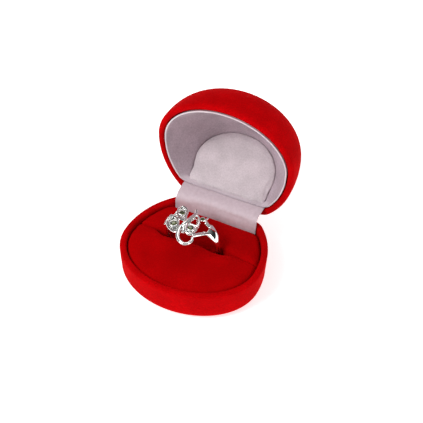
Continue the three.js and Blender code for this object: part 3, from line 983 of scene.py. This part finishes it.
def fill_out(piece: Piece, stuffing: Stuffing) -> Piece:
    """Fills a padded piece out with a pressured cloth simulation and applies the result.

    Args:
        piece: The closed piece, changed in place.
        stuffing: Pressure, voxel and the most that a point may move.

    Returns:
        The same piece, with one level of subdivision applied.
    """
    remeshed(piece, stuffing.voxel, smoothing=4)
    start = coordinates(piece)
    middle = start.mean(0)
    place_corners(piece, (start - middle) * stuffing.enlarged)
    cloth = piece.modifiers.new("stuffing", "CLOTH")
    cloth.settings.use_pressure = True
    cloth.settings.uniform_pressure_force = stuffing.pressure
    cloth.settings.effector_weights.gravity = 0.0
    cloth.settings.quality = 6
    cloth.settings.mass = 0.3
    cloth.settings.tension_stiffness = 18
    cloth.settings.bending_stiffness = 0.6
    cloth.point_cache.frame_start = 1
    cloth.point_cache.frame_end = stuffing.frames
    scene = bpy.context.scene
    for number in range(1, stuffing.frames + 1):
        scene.frame_set(number)
    settled(piece)
    moved = coordinates(piece) / stuffing.enlarged + middle - start
    length = np.linalg.norm(moved, axis=1, keepdims=True)
    held = moved * np.minimum(1.0, stuffing.cap / np.maximum(length, 1e-12))
    place_corners(piece, start + held)
    scene.frame_set(1)
    finer = piece.modifiers.new("finer", "SUBSURF")
    finer.levels = finer.render_levels = 1
    return settled(piece)


@dataclass
class RingCushion:
    """The two velvet-covered halves that grip the ring between them.

    Together they make one low dome. The slot is widest where the ring holds it open, closes towards its
    ends, and drifts back a little on the left.
    """

    inset: float = 2.45
    back_y: float = 18.9
    slot_y: float = 3.9
    slot_half: float = 1.2
    slot_half_between: float = 0.5
    slot_half_at_ends: float = 0.12
    slot_opens_below: float = 3.0
    ring_x: float = -1.3
    ring_reach: float = 9.2
    held_open: float = 1.0
    closing: float = 5.5
    pressed_share: float = 0.75
    pressed_from: float = 1.5
    pressed_run: float = 5.0
    drift: float = 1.5
    drift_from: float = 11.0
    drift_run: float = 12.0
    edge_z: float = 11.9
    crown: float = 1.9
    crown_power: float = 1.6
    foot_z: float = 4.4
    edge_roll: float = 1.3
    round_sides: int = 180
    cut_sides: int = 90

    def slot_middle(self, x: np.ndarray) -> np.ndarray:
        """Where the middle of the slot lies in Y at each X."""
        return self.slot_y + self.drift * eased(self.drift_from, self.drift_run, -x)

    def slot_width(self, x: np.ndarray) -> np.ndarray:
        """Half of the slot's width at each X.

        Args:
            x: Places along the slot, in mm.

        Returns:
            Half widths in mm.
        """
        away = np.abs(x - self.ring_x) - self.ring_reach
        resting = np.where(away > 0, self.slot_half_at_ends, self.slot_half_between)
        opening = 1 - eased(self.held_open, self.closing, np.abs(away))
        return resting + (self.slot_half - resting) * opening

    def height(self, points: np.ndarray) -> np.ndarray:
        """Height of the dome over each point, in mm.

        Args:
            points: Points in mm, one row each.

        Returns:
            One height for each.
        """
        reach = np.where(points[:, 1] < 0, PLAN.front_reach, self.back_y + self.inset) - self.inset
        across = (points[:, 0] / (PLAN.half_width - self.inset)) ** 2 + (points[:, 1] / reach) ** 2
        return self.edge_z + self.crown * (1 - np.clip(across, 0, 1) ** self.crown_power)

    def outline(self, half: Half, extra: float, depth: float = 0.0) -> np.ndarray:
        """One half's outline seen from above.

        Args:
            half: Which half it is.
            extra: How far it is moved in, in mm.
            depth: How far below the slot's lips it lies, in mm.

        Returns:
            Points in mm, round the outside first and then along the slot.
        """
        away = -1 if half is Half.FRONT else 1
        inset = self.inset + extra
        turns = []
        for side in Side:
            end_x = side.value * (PLAN.half_width - inset)
            middle = float(self.slot_middle(np.array(end_x)))
            cut_y = middle + away * (self.slot_half_at_ends + extra)
            turn = math.asin(cut_y / (PLAN.back_reach - inset))
            turns.append(math.pi - turn if side is Side.LEFT else turn)
        left, right = turns
        ends = (right, left) if half is Half.REAR else (left, 2 * math.pi + right)
        arc = PLAN.at(np.linspace(*ends, self.round_sides + 1), inset, 0.0, self.back_y - extra)
        shares = np.linspace(0, 1, self.cut_sides + 1)[1:-1]
        x = arc[-1, 0] + (arc[0, 0] - arc[-1, 0]) * shares
        between = np.abs(x - self.ring_x) < self.ring_reach
        below = eased(0.0, self.slot_opens_below, depth)
        freed = (self.slot_half - self.slot_width(x)) * below * between
        y = self.slot_middle(x) + away * (self.slot_width(x) + freed + extra * self.roundness(x))
        return np.vstack([arc, np.column_stack([x, y, 0 * x])])

    def roundness(self, x: np.ndarray) -> np.ndarray:
        """How far the slot's lips round over at each X: hardly at all where the halves press together."""
        start = self.ring_x + self.ring_reach + self.pressed_from
        return 1 - self.pressed_share * eased(start, self.pressed_run, x)

    def level(self, half: Half, extra: float, z: float) -> np.ndarray:
        """One half's outline moved in by extra, at a height of z."""
        ring = self.outline(half, extra, self.edge_z - z)
        ring[:, 2] = z
        return ring

    def build_half(self, half: Half) -> Piece:
        """Builds one half, stuffed and covered.

        Args:
            half: Which half it is.

        Returns:
            The finished piece.
        """
        middle = self.outline(half, 4.0).mean(0)
        foot, side_z = self.foot_z, self.foot_z + 1
        levels = [(1.2, foot), (0.3, foot + 0.3), (0.0, side_z)]
        for share in (0.3, 0.55, 0.75, 0.88, 0.96):
            levels.append((0.0, side_z + share * (self.edge_z - foot - 1 - self.edge_roll)))
        rings = [self.level(half, extra, z) for extra, z in levels]
        for inward, upward in quarter_bend(8):
            ring = self.outline(half, self.edge_roll * inward)
            drop = np.full(len(ring), self.edge_roll * (1 - upward))
            drop[self.round_sides + 1 :] *= self.roundness(ring[self.round_sides + 1 :, 0])
            ring[:, 2] = self.height(ring) - drop
            rings.append(ring)
        top = self.outline(half, self.edge_roll)
        for share in np.linspace(1, 0.02, 24)[1:]:
            ring = middle + (top - middle) * share
            ring[:, 2] = self.height(ring)
            rings.append(ring)
        pad = skin(f"{half.value}_velvet_pad", rings)
        fill_out(pad, Stuffing(voxel=0.5 * MM, pressure=3.0, cap=0.3 * MM))
        shade_smooth(pad)
        dress(pad, RED_VELVET.material())
        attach(pad, "base")
        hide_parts(f"{half.value}_pad_cover", f"{half.value}_pad_foam")
        return pad

    def build(self) -> list:
        """Builds both halves."""
        return [self.build_half(half) for half in Half]


# ------------------------------------------------------------------ hinge strip


def smooth_path(knots: np.ndarray, steps: int) -> np.ndarray:
    """Samples a Catmull-Rom curve through knots evenly by knot number.

    Args:
        knots: Points, one row each.
        steps: Number of steps along the whole curve.

    Returns:
        steps + 1 points.
    """
    padded = np.vstack([2 * knots[0] - knots[1], knots, 2 * knots[-1] - knots[-2]])
    places = np.linspace(0, len(knots) - 1, steps + 1)
    out = []
    for place in places:
        i = min(int(place), len(knots) - 2)
        t = place - i
        a, b, c, d = padded[i : i + 4]
        out.append(
            0.5 * (2 * b + (c - a) * t + (2 * a - 5 * b + 4 * c - d) * t**2 + (3 * b - a - 3 * c + d) * t**3)
        )
    return np.array(out)


@dataclass
class HingeStrip:
    """The satin strip that hides the hinge, from behind the cushion up over the lid's lip.

    Its free span waves a little, sags in front of the pin and stands full above it; the sag and the
    fullness fade out towards the left. Each wave is a height, a frequency across, one along and a
    start; each fade is where it starts in X and over how many mm it runs.
    """

    half_width: float = 15.6
    thickness: float = 0.3
    along: int = 64
    across: int = 120
    waves: tuple = ((0.16, 0.42, 1.3, 1.1), (0.08, 1.05, 4.0, 0.0))
    slack: float = 0.75
    slack_at: float = 0.42
    slack_fade: tuple = (-11.0, 8.0)
    slack_right_fade: tuple = (9.0, 6.0)
    fullness: float = 0.7
    full_at: float = 0.56
    full_fade: tuple = (-14.0, 8.0)
    full_towards: tuple = (-0.9, 0.75)
    spread: float = 0.2
    path: tuple = (
        (19.35, -3.0), (19.35, -1.2), (19.4, 0.4), (19.8, 1.7), (20.8, 2.6), (22.4, 3.2),
        (24.2, 3.45), (26.0, 3.55), (27.6, 3.55),
    )

    def rows(self) -> list:
        """Rows of points across the cloth in mm, from its foot behind the cushion to its top."""
        line = smooth_path(np.array(self.path), self.along)
        tangent = unit(np.gradient(line, axis=0))
        lift = np.column_stack([-tangent[:, 1], tangent[:, 0]])
        xs = np.linspace(-self.half_width, self.half_width, self.across + 1)
        sagging = eased(*self.slack_fade, xs) * (1 - 0.5 * eased(*self.slack_right_fade, xs))
        rows = []
        for row, (place, up) in enumerate(zip(line, lift)):
            share = row / self.along
            slow, fast = (a * np.sin(xs * b + start + share * c) for a, b, c, start in self.waves)
            slack = self.slack * bell(self.slack_at, self.spread, share) * sagging
            height = math.sin(math.pi * share) * (slow + fast) - slack
            full = self.fullness * bell(self.full_at, self.spread, share) * eased(*self.full_fade, xs)
            y = place[0] + up[0] * height + self.full_towards[0] * full
            z = RIM + place[1] + up[1] * height + self.full_towards[1] * full
            rows.append(np.column_stack([xs, y, z]))
        return rows

    def build(self) -> Piece:
        """Builds the strip as one sheet of cloth with soft waves."""
        points = self.rows()
        count = self.across + 1
        faces = [
            (r * count + i, r * count + i + 1, (r + 1) * count + i + 1, (r + 1) * count + i)
            for r in range(self.along)
            for i in range(self.across)
        ]
        strip = mesh_object("hinge_satin_strip", np.concatenate(points) * MM, faces)
        walls = strip.modifiers.new("thickness", "SOLIDIFY")
        walls.thickness = self.thickness * MM
        walls.offset = 0.0
        settled(strip)
        shade_smooth(strip)
        dress(strip, STRIP_CLOTH.material())
        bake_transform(strip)
        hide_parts("hinge_strip")
        return strip


# ------------------------------------------------------------------ ring


def swept(line: np.ndarray, halves: np.ndarray, side_hint: np.ndarray, sides: int, joined: bool) -> tuple:
    """Sweeps an oval section along a line.

    Args:
        line: Points of the middle line, in mm.
        halves: Half width and half height of the section at each point, in mm.
        side_hint: The direction that the section's width follows, one row for each point.
        sides: Corners of the section.
        joined: Whether the line closes on itself.

    Returns:
        Points in mm and faces.
    """
    tangent = unit(along(line, joined))
    side = unit(side_hint - (side_hint * tangent).sum(1, keepdims=True) * tangent)
    up = np.cross(side, tangent)
    cosine, sine = np.cos(full_turn(sides))[:, None], np.sin(full_turn(sides))[:, None]
    rings = [
        middle + cosine * half_width * across + sine * half_height * over
        for middle, (half_width, half_height), across, over in zip(line, halves, side, up)
    ]
    return skinned(rings, joined)


def hollowness(piece: Piece, spacing: float) -> np.ndarray:
    """How deep in a crevice each corner lies, from 0 in the open to 1 in a tight corner.

    Args:
        piece: An evenly meshed piece.
        spacing: The mesh's even spacing in metres.

    Returns:
        One share for each corner.
    """
    places = coordinates(piece)
    count = len(places)
    edges = np.empty(len(piece.data.edges) * 2, np.int64)
    piece.data.edges.foreach_get("vertices", edges)
    edges = edges.reshape(-1, 2)
    normals = np.empty(count * 3)
    piece.data.vertices.foreach_get("normal", normals)
    normals = normals.reshape(-1, 3)
    ends = np.concatenate([edges, edges[:, ::-1]])
    number = np.maximum(np.bincount(ends[:, 0], minlength=count), 1)
    reach = ((places[ends[:, 1]] - places[ends[:, 0]]) * normals[ends[:, 0]]).sum(1)
    share = np.bincount(ends[:, 0], weights=reach, minlength=count) / number / spacing
    for _ in range(3):
        share = np.bincount(ends[:, 0], weights=share[ends[:, 1]], minlength=count) / number
    return smoothstep((share - 0.01) / 0.11)


def bead_rows(
    name: str, lines: list, spacing: float, radius: float, material: Material
) -> Piece:
    """Sets a row of small beads along each closed line with Geometry Nodes.

    Args:
        name: The piece's name.
        lines: Closed lines of points in mm.
        spacing: Distance between beads in metres.
        radius: Radius of a bead in metres.
        material: The beads' material.

    Returns:
        The beads as one plain mesh.
    """
    mesh = bpy.data.meshes.new(name)
    points, edges = [], []
    for line in lines:
        first = len(points)
        points += [tuple(map(float, p * MM)) for p in line]
        edges += [(first + i, first + (i + 1) % len(line)) for i in range(len(line))]
    mesh.from_pydata(points, edges, [])
    piece = linked(name, mesh)
    tree = bpy.data.node_groups.new("bead_rows", "GeometryNodeTree")
    kinds = {"Geometry": "Geometry", "Spacing": "Float", "Bead radius": "Float", "Seed": "Int"}
    inputs = {}
    for label, kind in kinds.items():
        socket = tree.interface.new_socket(label, in_out="INPUT", socket_type=f"NodeSocket{kind}")
        inputs[label] = socket.identifier
    tree.interface.new_socket("Geometry", in_out="OUTPUT", socket_type="NodeSocketGeometry")
    given = add_node(tree, "NodeGroupInput").outputs
    curve = add_node(tree, "GeometryNodeMeshToCurve", links={"Mesh": given["Geometry"]})
    evenly = add_node(
        tree,
        "GeometryNodeResampleCurve",
        {"mode": "LENGTH"},
        links={"Curve": curve.outputs[0], "Length": given["Spacing"]},
    )
    round_off = {"Subdivisions": 2}
    links = {"Radius": given["Bead radius"]}
    bead = add_node(tree, "GeometryNodeMeshIcoSphere", values=round_off, links=links)
    size = add_node(
        tree,
        "FunctionNodeRandomValue",
        {"data_type": "FLOAT"},
        {"Min": 0.8, "Max": 1.1},
        {"Seed": given["Seed"]},
    )
    links = {"Points": evenly.outputs[0], "Instance": bead.outputs["Mesh"], "Scale": size.outputs["Value"]}
    rows = add_node(tree, "GeometryNodeInstanceOnPoints", links=links)
    real = add_node(tree, "GeometryNodeRealizeInstances", links={"Geometry": rows.outputs[0]})
    smooth = add_node(tree, "GeometryNodeSetShadeSmooth", links={"Geometry": real.outputs[0]})
    dressed = add_node(
        tree,
        "GeometryNodeSetMaterial",
        values={"Material": material},
        links={"Geometry": smooth.outputs[0]},
    )
    add_node(tree, "NodeGroupOutput", links={"Geometry": dressed.outputs[0]})
    rows_modifier = piece.modifiers.new("rows", "NODES")
    rows_modifier.node_group = tree
    rows_modifier[inputs["Spacing"]] = spacing
    rows_modifier[inputs["Bead radius"]] = radius
    rows_modifier[inputs["Seed"]] = 7
    return settled(piece)


@dataclass(frozen=True)
class StoneSeat:
    """One round stone: its middle in mm from the box's middle and the parting line, and its radius."""

    name: str
    x: float
    y: float
    above_rim: float
    radius: float

    @property
    def middle(self) -> np.ndarray:
        """The stone's girdle middle in the part's frame, in mm."""
        return np.array([self.x, self.y, RIM + self.above_rim])


@dataclass(frozen=True)
class Ribbon:
    """One ribbon of the ring's head, with its section and the share of it that is left at its ends.

    Its knots are in mm from the box's middle and above the rim. A leaf's floor stops at floor_to_y.
    """

    knots: tuple
    width: float
    height: float
    closed: bool = False
    taper: float = 1.0
    floor_to_y: float = math.inf
    steps: int = 12

    def line(self) -> np.ndarray:
        """The smooth middle line through the knots, in mm."""
        knots = np.array(self.knots, float) + [0, 0, RIM]
        if not self.closed:
            return smooth_path(knots, self.steps * len(knots))
        wrapped = np.vstack([knots[-2:], knots, knots[:3]])
        line = smooth_path(wrapped, self.steps * (len(wrapped) - 1))
        return line[2 * self.steps : (2 + len(knots)) * self.steps]


LEAVES = (
    Ribbon(
        (
            (-8.3, 5.9, 9.3), (-8.7, 7.9, 9.2), (-8.1, 9.4, 9.3), (-6.6, 8.9, 9.8),
            (-5.3, 7.5, 10.1), (-4.7, 5.6, 10.2), (-5.2, 3.8, 10.1), (-6.9, 4.1, 9.7),
        ),
        0.85, 0.9, closed=True,
    ),
    Ribbon(
        (
            (-9.1, -0.6, 9.0), (-9.7, 1.6, 8.7), (-9.2, 3.4, 8.9), (-7.9, 3.5, 9.4),
            (-6.5, 2.4, 9.8), (-5.4, 0.5, 10.0), (-4.5, -1.7, 10.2), (-4.5, -3.5, 10.2),
            (-6.7, -2.8, 9.7),
        ),
        0.9, 1.0, closed=True,
    ),
    Ribbon(
        (
            (-2.3, 0.1, 10.5), (-2.4, 2.0, 10.5), (-1.9, 4.5, 10.5), (-1.2, 6.4, 10.5),
            (-0.1, 5.6, 10.5), (0.8, 4.0, 10.4), (1.3, 2.0, 10.2), (1.3, -0.4, 10.2),
            (0.8, -2.5, 10.3), (-0.7, -2.6, 10.5), (-1.8, -1.5, 10.5),
        ),
        0.85, 1.0, closed=True, floor_to_y=2.6,
    ),
)
RIBBONS = (
    Ribbon(
        (
            (-2.5, 9.2, 10.3), (-1.9, 7.2, 10.5), (-2.3, 4.9, 10.7), (-3.0, 2.5, 10.8),
            (-3.4, 0.6, 10.8), (-3.8, -1.1, 10.6), (-3.6, -3.1, 10.5), (-2.9, -5.1, 10.3),
            (-1.5, -6.7, 10.2), (0.3, -7.2, 10.0), (1.6, -6.3, 9.9), (2.1, -4.7, 9.8),
            (1.7, -3.1, 10.0),
        ),
        1.35, 1.2, taper=0.7,
    ),
    Ribbon(
        (
            (-4.8, 5.2, 10.2), (-4.2, 4.0, 10.5), (-3.9, 2.4, 10.6), (-3.0, 0.4, 10.4),
            (-2.6, -1.4, 10.3), (-2.1, -3.2, 10.4),
        ),
        0.95, 0.95,
    ),
    Ribbon(((-10.2, -0.4, 8.5), (-10.4, 2.4, 8.4), (-10.1, 5.0, 8.5)), 0.8, 0.9, taper=0.6),
    Ribbon(((-10.0, 3.4, 8.6), (-9.2, 4.3, 8.9), (-8.2, 5.2, 9.3)), 0.9, 0.9),
    Ribbon(((-6.9, 3.6, 9.7), (-6.0, 3.2, 10.0), (-4.2, 2.6, 10.4)), 1.1, 0.9),
    Ribbon(((2.6, 5.5, 9.7), (2.3, 6.6, 9.8), (2.5, 7.9, 9.7)), 0.8, 0.8, taper=0.6),
)
SHOULDERS = (
    Ribbon(
        (
            (5.0, 2.3, 8.0), (4.3, 1.5, 8.6), (3.5, 0.2, 9.2), (2.5, -1.4, 9.8), (1.4, -2.7, 10.1),
        ),
        1.6, 1.2,
    ),
    Ribbon(((5.0, 5.5, 8.0), (4.4, 5.3, 8.6), (3.8, 5.2, 9.0), (3.2, 5.4, 9.4), (2.6, 5.6, 9.65)), 1.3, 1.1),
    Ribbon(((-8.5, 2.7, 7.2), (-9.1, 1.9, 7.9), (-9.2, 0.8, 8.7)), 1.3, 1.2),
    Ribbon(((-8.5, 5.1, 7.2), (-9.0, 5.6, 8.0), (-8.5, 6.4, 9.1)), 1.2, 1.1),
)


@dataclass
class DressRing:
    """A silver dress ring with an open head of ribbons and leaf loops, set with four small stones."""

    x: float = -1.3
    y: float = 3.9
    z_above_rim: float = 0.9
    band_radius: float = 9.6
    band_thickness: float = 1.5
    band_width: float = 2.3
    shoulder_width: float = 5.0
    left_shoulder: float = 44.0
    right_shoulder: float = 53.0
    stones: tuple = (
        StoneSeat("ring_stone_back", -6.7, 6.2, 9.8, 1.0),
        StoneSeat("ring_stone_left", -7.3, 0.5, 9.6, 1.2),
        StoneSeat("ring_stone_right", -0.6, 0.2, 10.6, 1.15),
        StoneSeat("ring_stone_tip", 1.2, 6.1, 10.2, 0.7),
    )
    setting_wall: float = 0.3
    setting_depth: float = 0.8
    floor_top: float = 0.3
    floor_foot: float = 0.65
    beads_inside: float = 0.72
    beads_below: float = 0.12
    casting_voxel: float = 0.13 * MM
    bead_spacing: float = 0.42 * MM
    bead_radius: float = 0.17 * MM

    def band(self) -> Piece:
        """The finger band, widening to its shoulders."""
        left, right = math.radians(self.left_shoulder), math.radians(self.right_shoulder)
        turns = np.linspace(right, -math.pi - left, 160)
        centre = np.array([self.x, self.y, RIM + self.z_above_rim])
        line = centre + self.band_radius * np.column_stack([np.cos(turns), 0 * turns, np.sin(turns)])
        from_end = np.minimum((turns + math.pi + left) / left, (right - turns) / right)
        widening = 1 - smoothstep(from_end)
        width = self.band_width + (self.shoulder_width - self.band_width) * widening
        halves = np.column_stack([width / 2, np.full(len(turns), self.band_thickness / 2)])
        points, faces = swept(line, halves, np.tile([0.0, 1.0, 0.0], (len(line), 1)), 28, False)
        return mesh_object("band", points * MM, faces)

    def ribbon(self, shape: Ribbon) -> Piece:
        """One ribbon of the head, its width lying level.

        Args:
            shape: Its line and section.

        Returns:
            The ribbon.
        """
        line = shape.line()
        share = np.sin(np.linspace(0, math.pi, len(line))) ** 0.5
        ends = np.ones(len(line)) if shape.closed else shape.taper + (1 - shape.taper) * share
        halves = ends[:, None] * [shape.width / 2, shape.height / 2]
        level = np.cross(along(line, shape.closed), [0.0, 0.0, 1.0])
        points, faces = swept(line, halves, level, 16, shape.closed)
        return mesh_object("ribbon", points * MM, faces)

    def collet(self, seat: StoneSeat) -> Piece:
        """The round setting that grips one stone.

        Args:
            seat: Where the stone sits, and its size.

        Returns:
            The setting.
        """
        inner, outer, foot = seat.radius * 0.9, seat.radius + self.setting_wall, -self.setting_depth
        profile = ((inner, foot), (outer * 0.9, foot), (outer, -0.1), (outer - 0.1, 0.12), (inner, 0.1))
        angles = full_turn(40)
        rings = [
            seat.middle + np.column_stack([r * np.cos(angles), r * np.sin(angles), np.full(40, z)])
            for r, z in profile
        ]
        points, faces = skinned(rings, True)
        return mesh_object("collet", points * MM, faces)

    def leaf_floor(self, leaf: Ribbon) -> Piece:
        """A thin plate that closes a leaf loop below its rim."""
        line = leaf.line()
        line[:, 1] = np.minimum(line[:, 1], leaf.floor_to_y)
        return skin("leaf_floor", [line - [0, 0, self.floor_top], line - [0, 0, self.floor_foot]])

    def build_casting(self) -> Piece:
        """Builds the silver casting in one fused skin."""
        parts = [self.band()] + [self.ribbon(shape) for shape in RIBBONS + SHOULDERS + LEAVES]
        parts += [self.collet(seat) for seat in self.stones]
        parts += [self.leaf_floor(leaf) for leaf in LEAVES]
        casting = join_objects("ring_silver_casting", parts)
        remeshed(casting, self.casting_voxel, smoothing=3)
        write_share(casting, "hollow", hollowness(casting, self.casting_voxel))
        shade_smooth(casting)
        dress(casting, SILVER.material())
        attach(casting, "base")
        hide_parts("ring_casting")
        return casting

    def build_beads(self) -> Piece:
        """Sets a row of small beads inside each leaf's rim."""
        lines = []
        for leaf in LEAVES:
            line = leaf.line()
            middle = line.mean(0)
            lines.append(middle + (line - middle) * self.beads_inside - [0, 0, self.beads_below])
        beads = bead_rows("ring_bead_rows", lines, self.bead_spacing, self.bead_radius, SILVER.material())
        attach(beads, "base")
        return beads

    def build_stone(self, seat: StoneSeat, material: Material) -> Piece:
        """Cuts one round brilliant: table, two rows of crown facets, girdle and pavilion.

        Args:
            seat: Where the stone sits, and its size.
            material: What it is cut from.

        Returns:
            The finished stone.
        """
        r = seat.radius
        # radius, height, corners and turn of the table, the stars and both sides of the girdle
        rows = [(0.56 * r, 0.36, 8, 0.5), (0.8 * r, 0.24, 8, 0.0), (r, 0.06, 16, 0.0), (r, -0.02, 16, 0.0)]
        points, starts = [], []
        for radius, height, count, offset in rows:
            starts.append(len(points))
            for i in range(count):
                angle = 2 * math.pi * (i + offset) / count
                points.append([radius * math.cos(angle), radius * math.sin(angle), height])
        tip = len(points)
        points.append([0.0, 0.0, -0.62 * r])
        table, stars, girdle, lower = starts
        faces = [tuple(table + i for i in range(8))]
        for i in range(8):
            star, before, after = stars + i, table + (i - 1) % 8, table + i
            next_star = stars + (i + 1) % 8
            faces.append((before, star, after))
            faces.append((after, star, girdle + 2 * i + 1))
            faces.append((after, girdle + 2 * i + 1, next_star))
            faces.append((star, girdle + 2 * i, girdle + 2 * i + 1))
            faces.append((next_star, girdle + 2 * i + 1, girdle + (2 * i + 2) % 16))
        for i in range(16):
            after = (i + 1) % 16
            faces.append((girdle + i, lower + i, lower + after, girdle + after))
            faces.append((lower + i, tip, lower + after))
        places = (np.array(points) + seat.middle) * MM
        stone = mesh_object(f"{seat.name}_cut", places, faces, smooth=False)
        dress(stone, material)
        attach(stone, "base")
        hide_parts(seat.name)
        return stone

    def build(self) -> list:
        """Builds the casting, its beads and its stones."""
        green = StoneFinish().material()
        made = [self.build_casting(), self.build_beads()]
        return made + [self.build_stone(seat, green) for seat in self.stones]


# ------------------------------------------------------------------ hinge hardware and cards


def dress_frame_nodes() -> None:
    """Gives the CAD nodes that stay in view their finishes."""
    steel, board = SteelFinish().material(), BoardFinish().material()
    hardware = ("base_hinge", "lid_hinge", "base_rivet", "lid_rivet", "hinge_pin", "hinge_spring")
    for name, node in frame["nodes"].items():
        if name.startswith(hardware):
            dress(node, steel)
        elif name in ("insert_card", "panel_card"):
            dress(node, board)


# ------------------------------------------------------------------ studio


@dataclass
class Softbox:
    """A square lamp that looks at the box, placed by azimuth, elevation and distance."""

    name: str
    azimuth: float
    elevation: float
    distance: float
    size: float
    power: float

    def build(self, aim: Vector) -> None:
        """Hangs the lamp.

        Args:
            aim: What it looks at.
        """
        lamp = bpy.data.lights.new(self.name, "AREA")
        lamp.shape = "SQUARE"
        lamp.size = self.size
        lamp.energy = self.power
        holder = linked(self.name, lamp)
        toward = direction(self.azimuth, self.elevation)
        holder.location = aim + toward * self.distance
        holder.rotation_mode = "QUATERNION"
        holder.rotation_quaternion = (-toward).to_track_quat("-Z", "Y")


def direction(azimuth: float, elevation: float) -> Vector:
    """The direction from the box to something at an azimuth (0 in front, 90 on the right) and elevation."""
    a, e = math.radians(azimuth), math.radians(elevation)
    return Vector((math.sin(a) * math.cos(e), -math.cos(a) * math.cos(e), math.sin(e)))


@dataclass
class Studio:
    """White sweep, soft lamps and the camera."""

    azimuth: float = 24.604
    elevation: float = 44.757
    roll: float = 0.895
    distance: float = 646.594
    scale: float = 2.88498
    aim: tuple = (2.097, 11.412, 22.584)
    floor_half: float = 3.0

    def build_camera(self) -> None:
        """Sets the camera up."""
        camera = bpy.data.cameras.new("camera")
        camera.sensor_width = SENSOR_MM
        camera.lens = SENSOR_MM * self.scale * self.distance / PICTURE_SIDE
        camera.clip_start, camera.clip_end = 0.01, 20.0
        holder = linked("camera", camera)
        toward = direction(self.azimuth, self.elevation)
        level = Vector((math.cos(math.radians(self.azimuth)), math.sin(math.radians(self.azimuth)), 0.0))
        up = toward.cross(level)
        turn = math.radians(self.roll)
        right = level * math.cos(turn) + up * math.sin(turn)
        above = up * math.cos(turn) - level * math.sin(turn)
        basis = Matrix((right, above, toward)).transposed()
        holder.rotation_mode = "QUATERNION"
        holder.rotation_quaternion = basis.to_quaternion()
        holder.location = Vector(self.aim) * MM + toward * self.distance * MM
        bpy.context.scene.camera = holder

    def build_floor(self) -> None:
        """Lays a wide white floor, lit a little from within as a light table is."""
        half = self.floor_half
        corners = np.array([[-half, -half, 0], [half, -half, 0], [half, half, 0], [-half, half, 0]])
        floor = mesh_object("floor", corners - [0, 0, 0.02 * MM], [(0, 1, 2, 3)], smooth=False)
        material, tree, shader, place = new_surface("white_light_table", {"Roughness": 0.8})
        shader.inputs["Specular IOR Level"].default_value = 0.1
        shader.inputs["Emission Color"].default_value = linear("#ffffff")
        shader.inputs["Emission Strength"].default_value = 0.64
        grain = noise_share(tree, place, 40 * MM)
        tree.links.new(mixed(tree, grain, linear("#f4f4f4"), linear("#f7f7f7")), shader.inputs["Base Color"])
        dress(floor, material)

    def build_world(self) -> None:
        """A dim room that is brighter overhead, and looks pale to the camera."""
        world = bpy.data.worlds.new("studio_room")
        world.use_nodes = True
        tree = world.node_tree
        background = tree.nodes["Background"]
        path = add_node(tree, "ShaderNodeLightPath")
        way = add_node(tree, "ShaderNodeTexCoord").outputs["Generated"]
        height = add_node(tree, "ShaderNodeSeparateXYZ", links={"Vector": way}).outputs["Z"]
        dim = mixed(tree, stretched(tree, height, 0.25, 0.85), linear("#2c2c2c"), linear("#b4b4b4"))
        room = mixed(tree, path.outputs["Is Camera Ray"], dim, linear("#f2f2f2"))
        tree.links.new(room, background.inputs["Color"])
        bpy.context.scene.world = world

    def build(self) -> None:
        """Sets the whole studio up."""
        self.build_camera()
        self.build_floor()
        self.build_world()
        target = Vector(self.aim) * MM
        lamps = (
            Softbox("key_softbox", -34, 46, 0.7, 0.3, 3.3),
            Softbox("right_softbox", 88, 16, 0.8, 0.4, 2.0),
            Softbox("back_softbox", -160, 50, 0.8, 0.4, 1.0),
        )
        for lamp in lamps:
            lamp.build(target)
        bpy.context.scene.view_settings.view_transform = "Standard"


# ------------------------------------------------------------------ all together


def main() -> None:
    """Builds every sub-assembly in order and reports it."""
    Studio().build()
    lining = LidLining()
    makers = (
        BaseShell().build,
        LidShell().build,
        lining.build_wall,
        lining.build_puff,
        RingCushion().build,
        HingeStrip().build,
        DressRing().build,
    )
    for maker in makers:
        made = maker()
        for piece in made if isinstance(made, list) else [made]:
            LOG.info("%s: %d faces", piece.name, len(piece.data.polygons))
    dress_frame_nodes()


if __name__ == "__main__":
    logging.basicConfig(level=logging.INFO, format="%(name)s %(message)s")
    main()
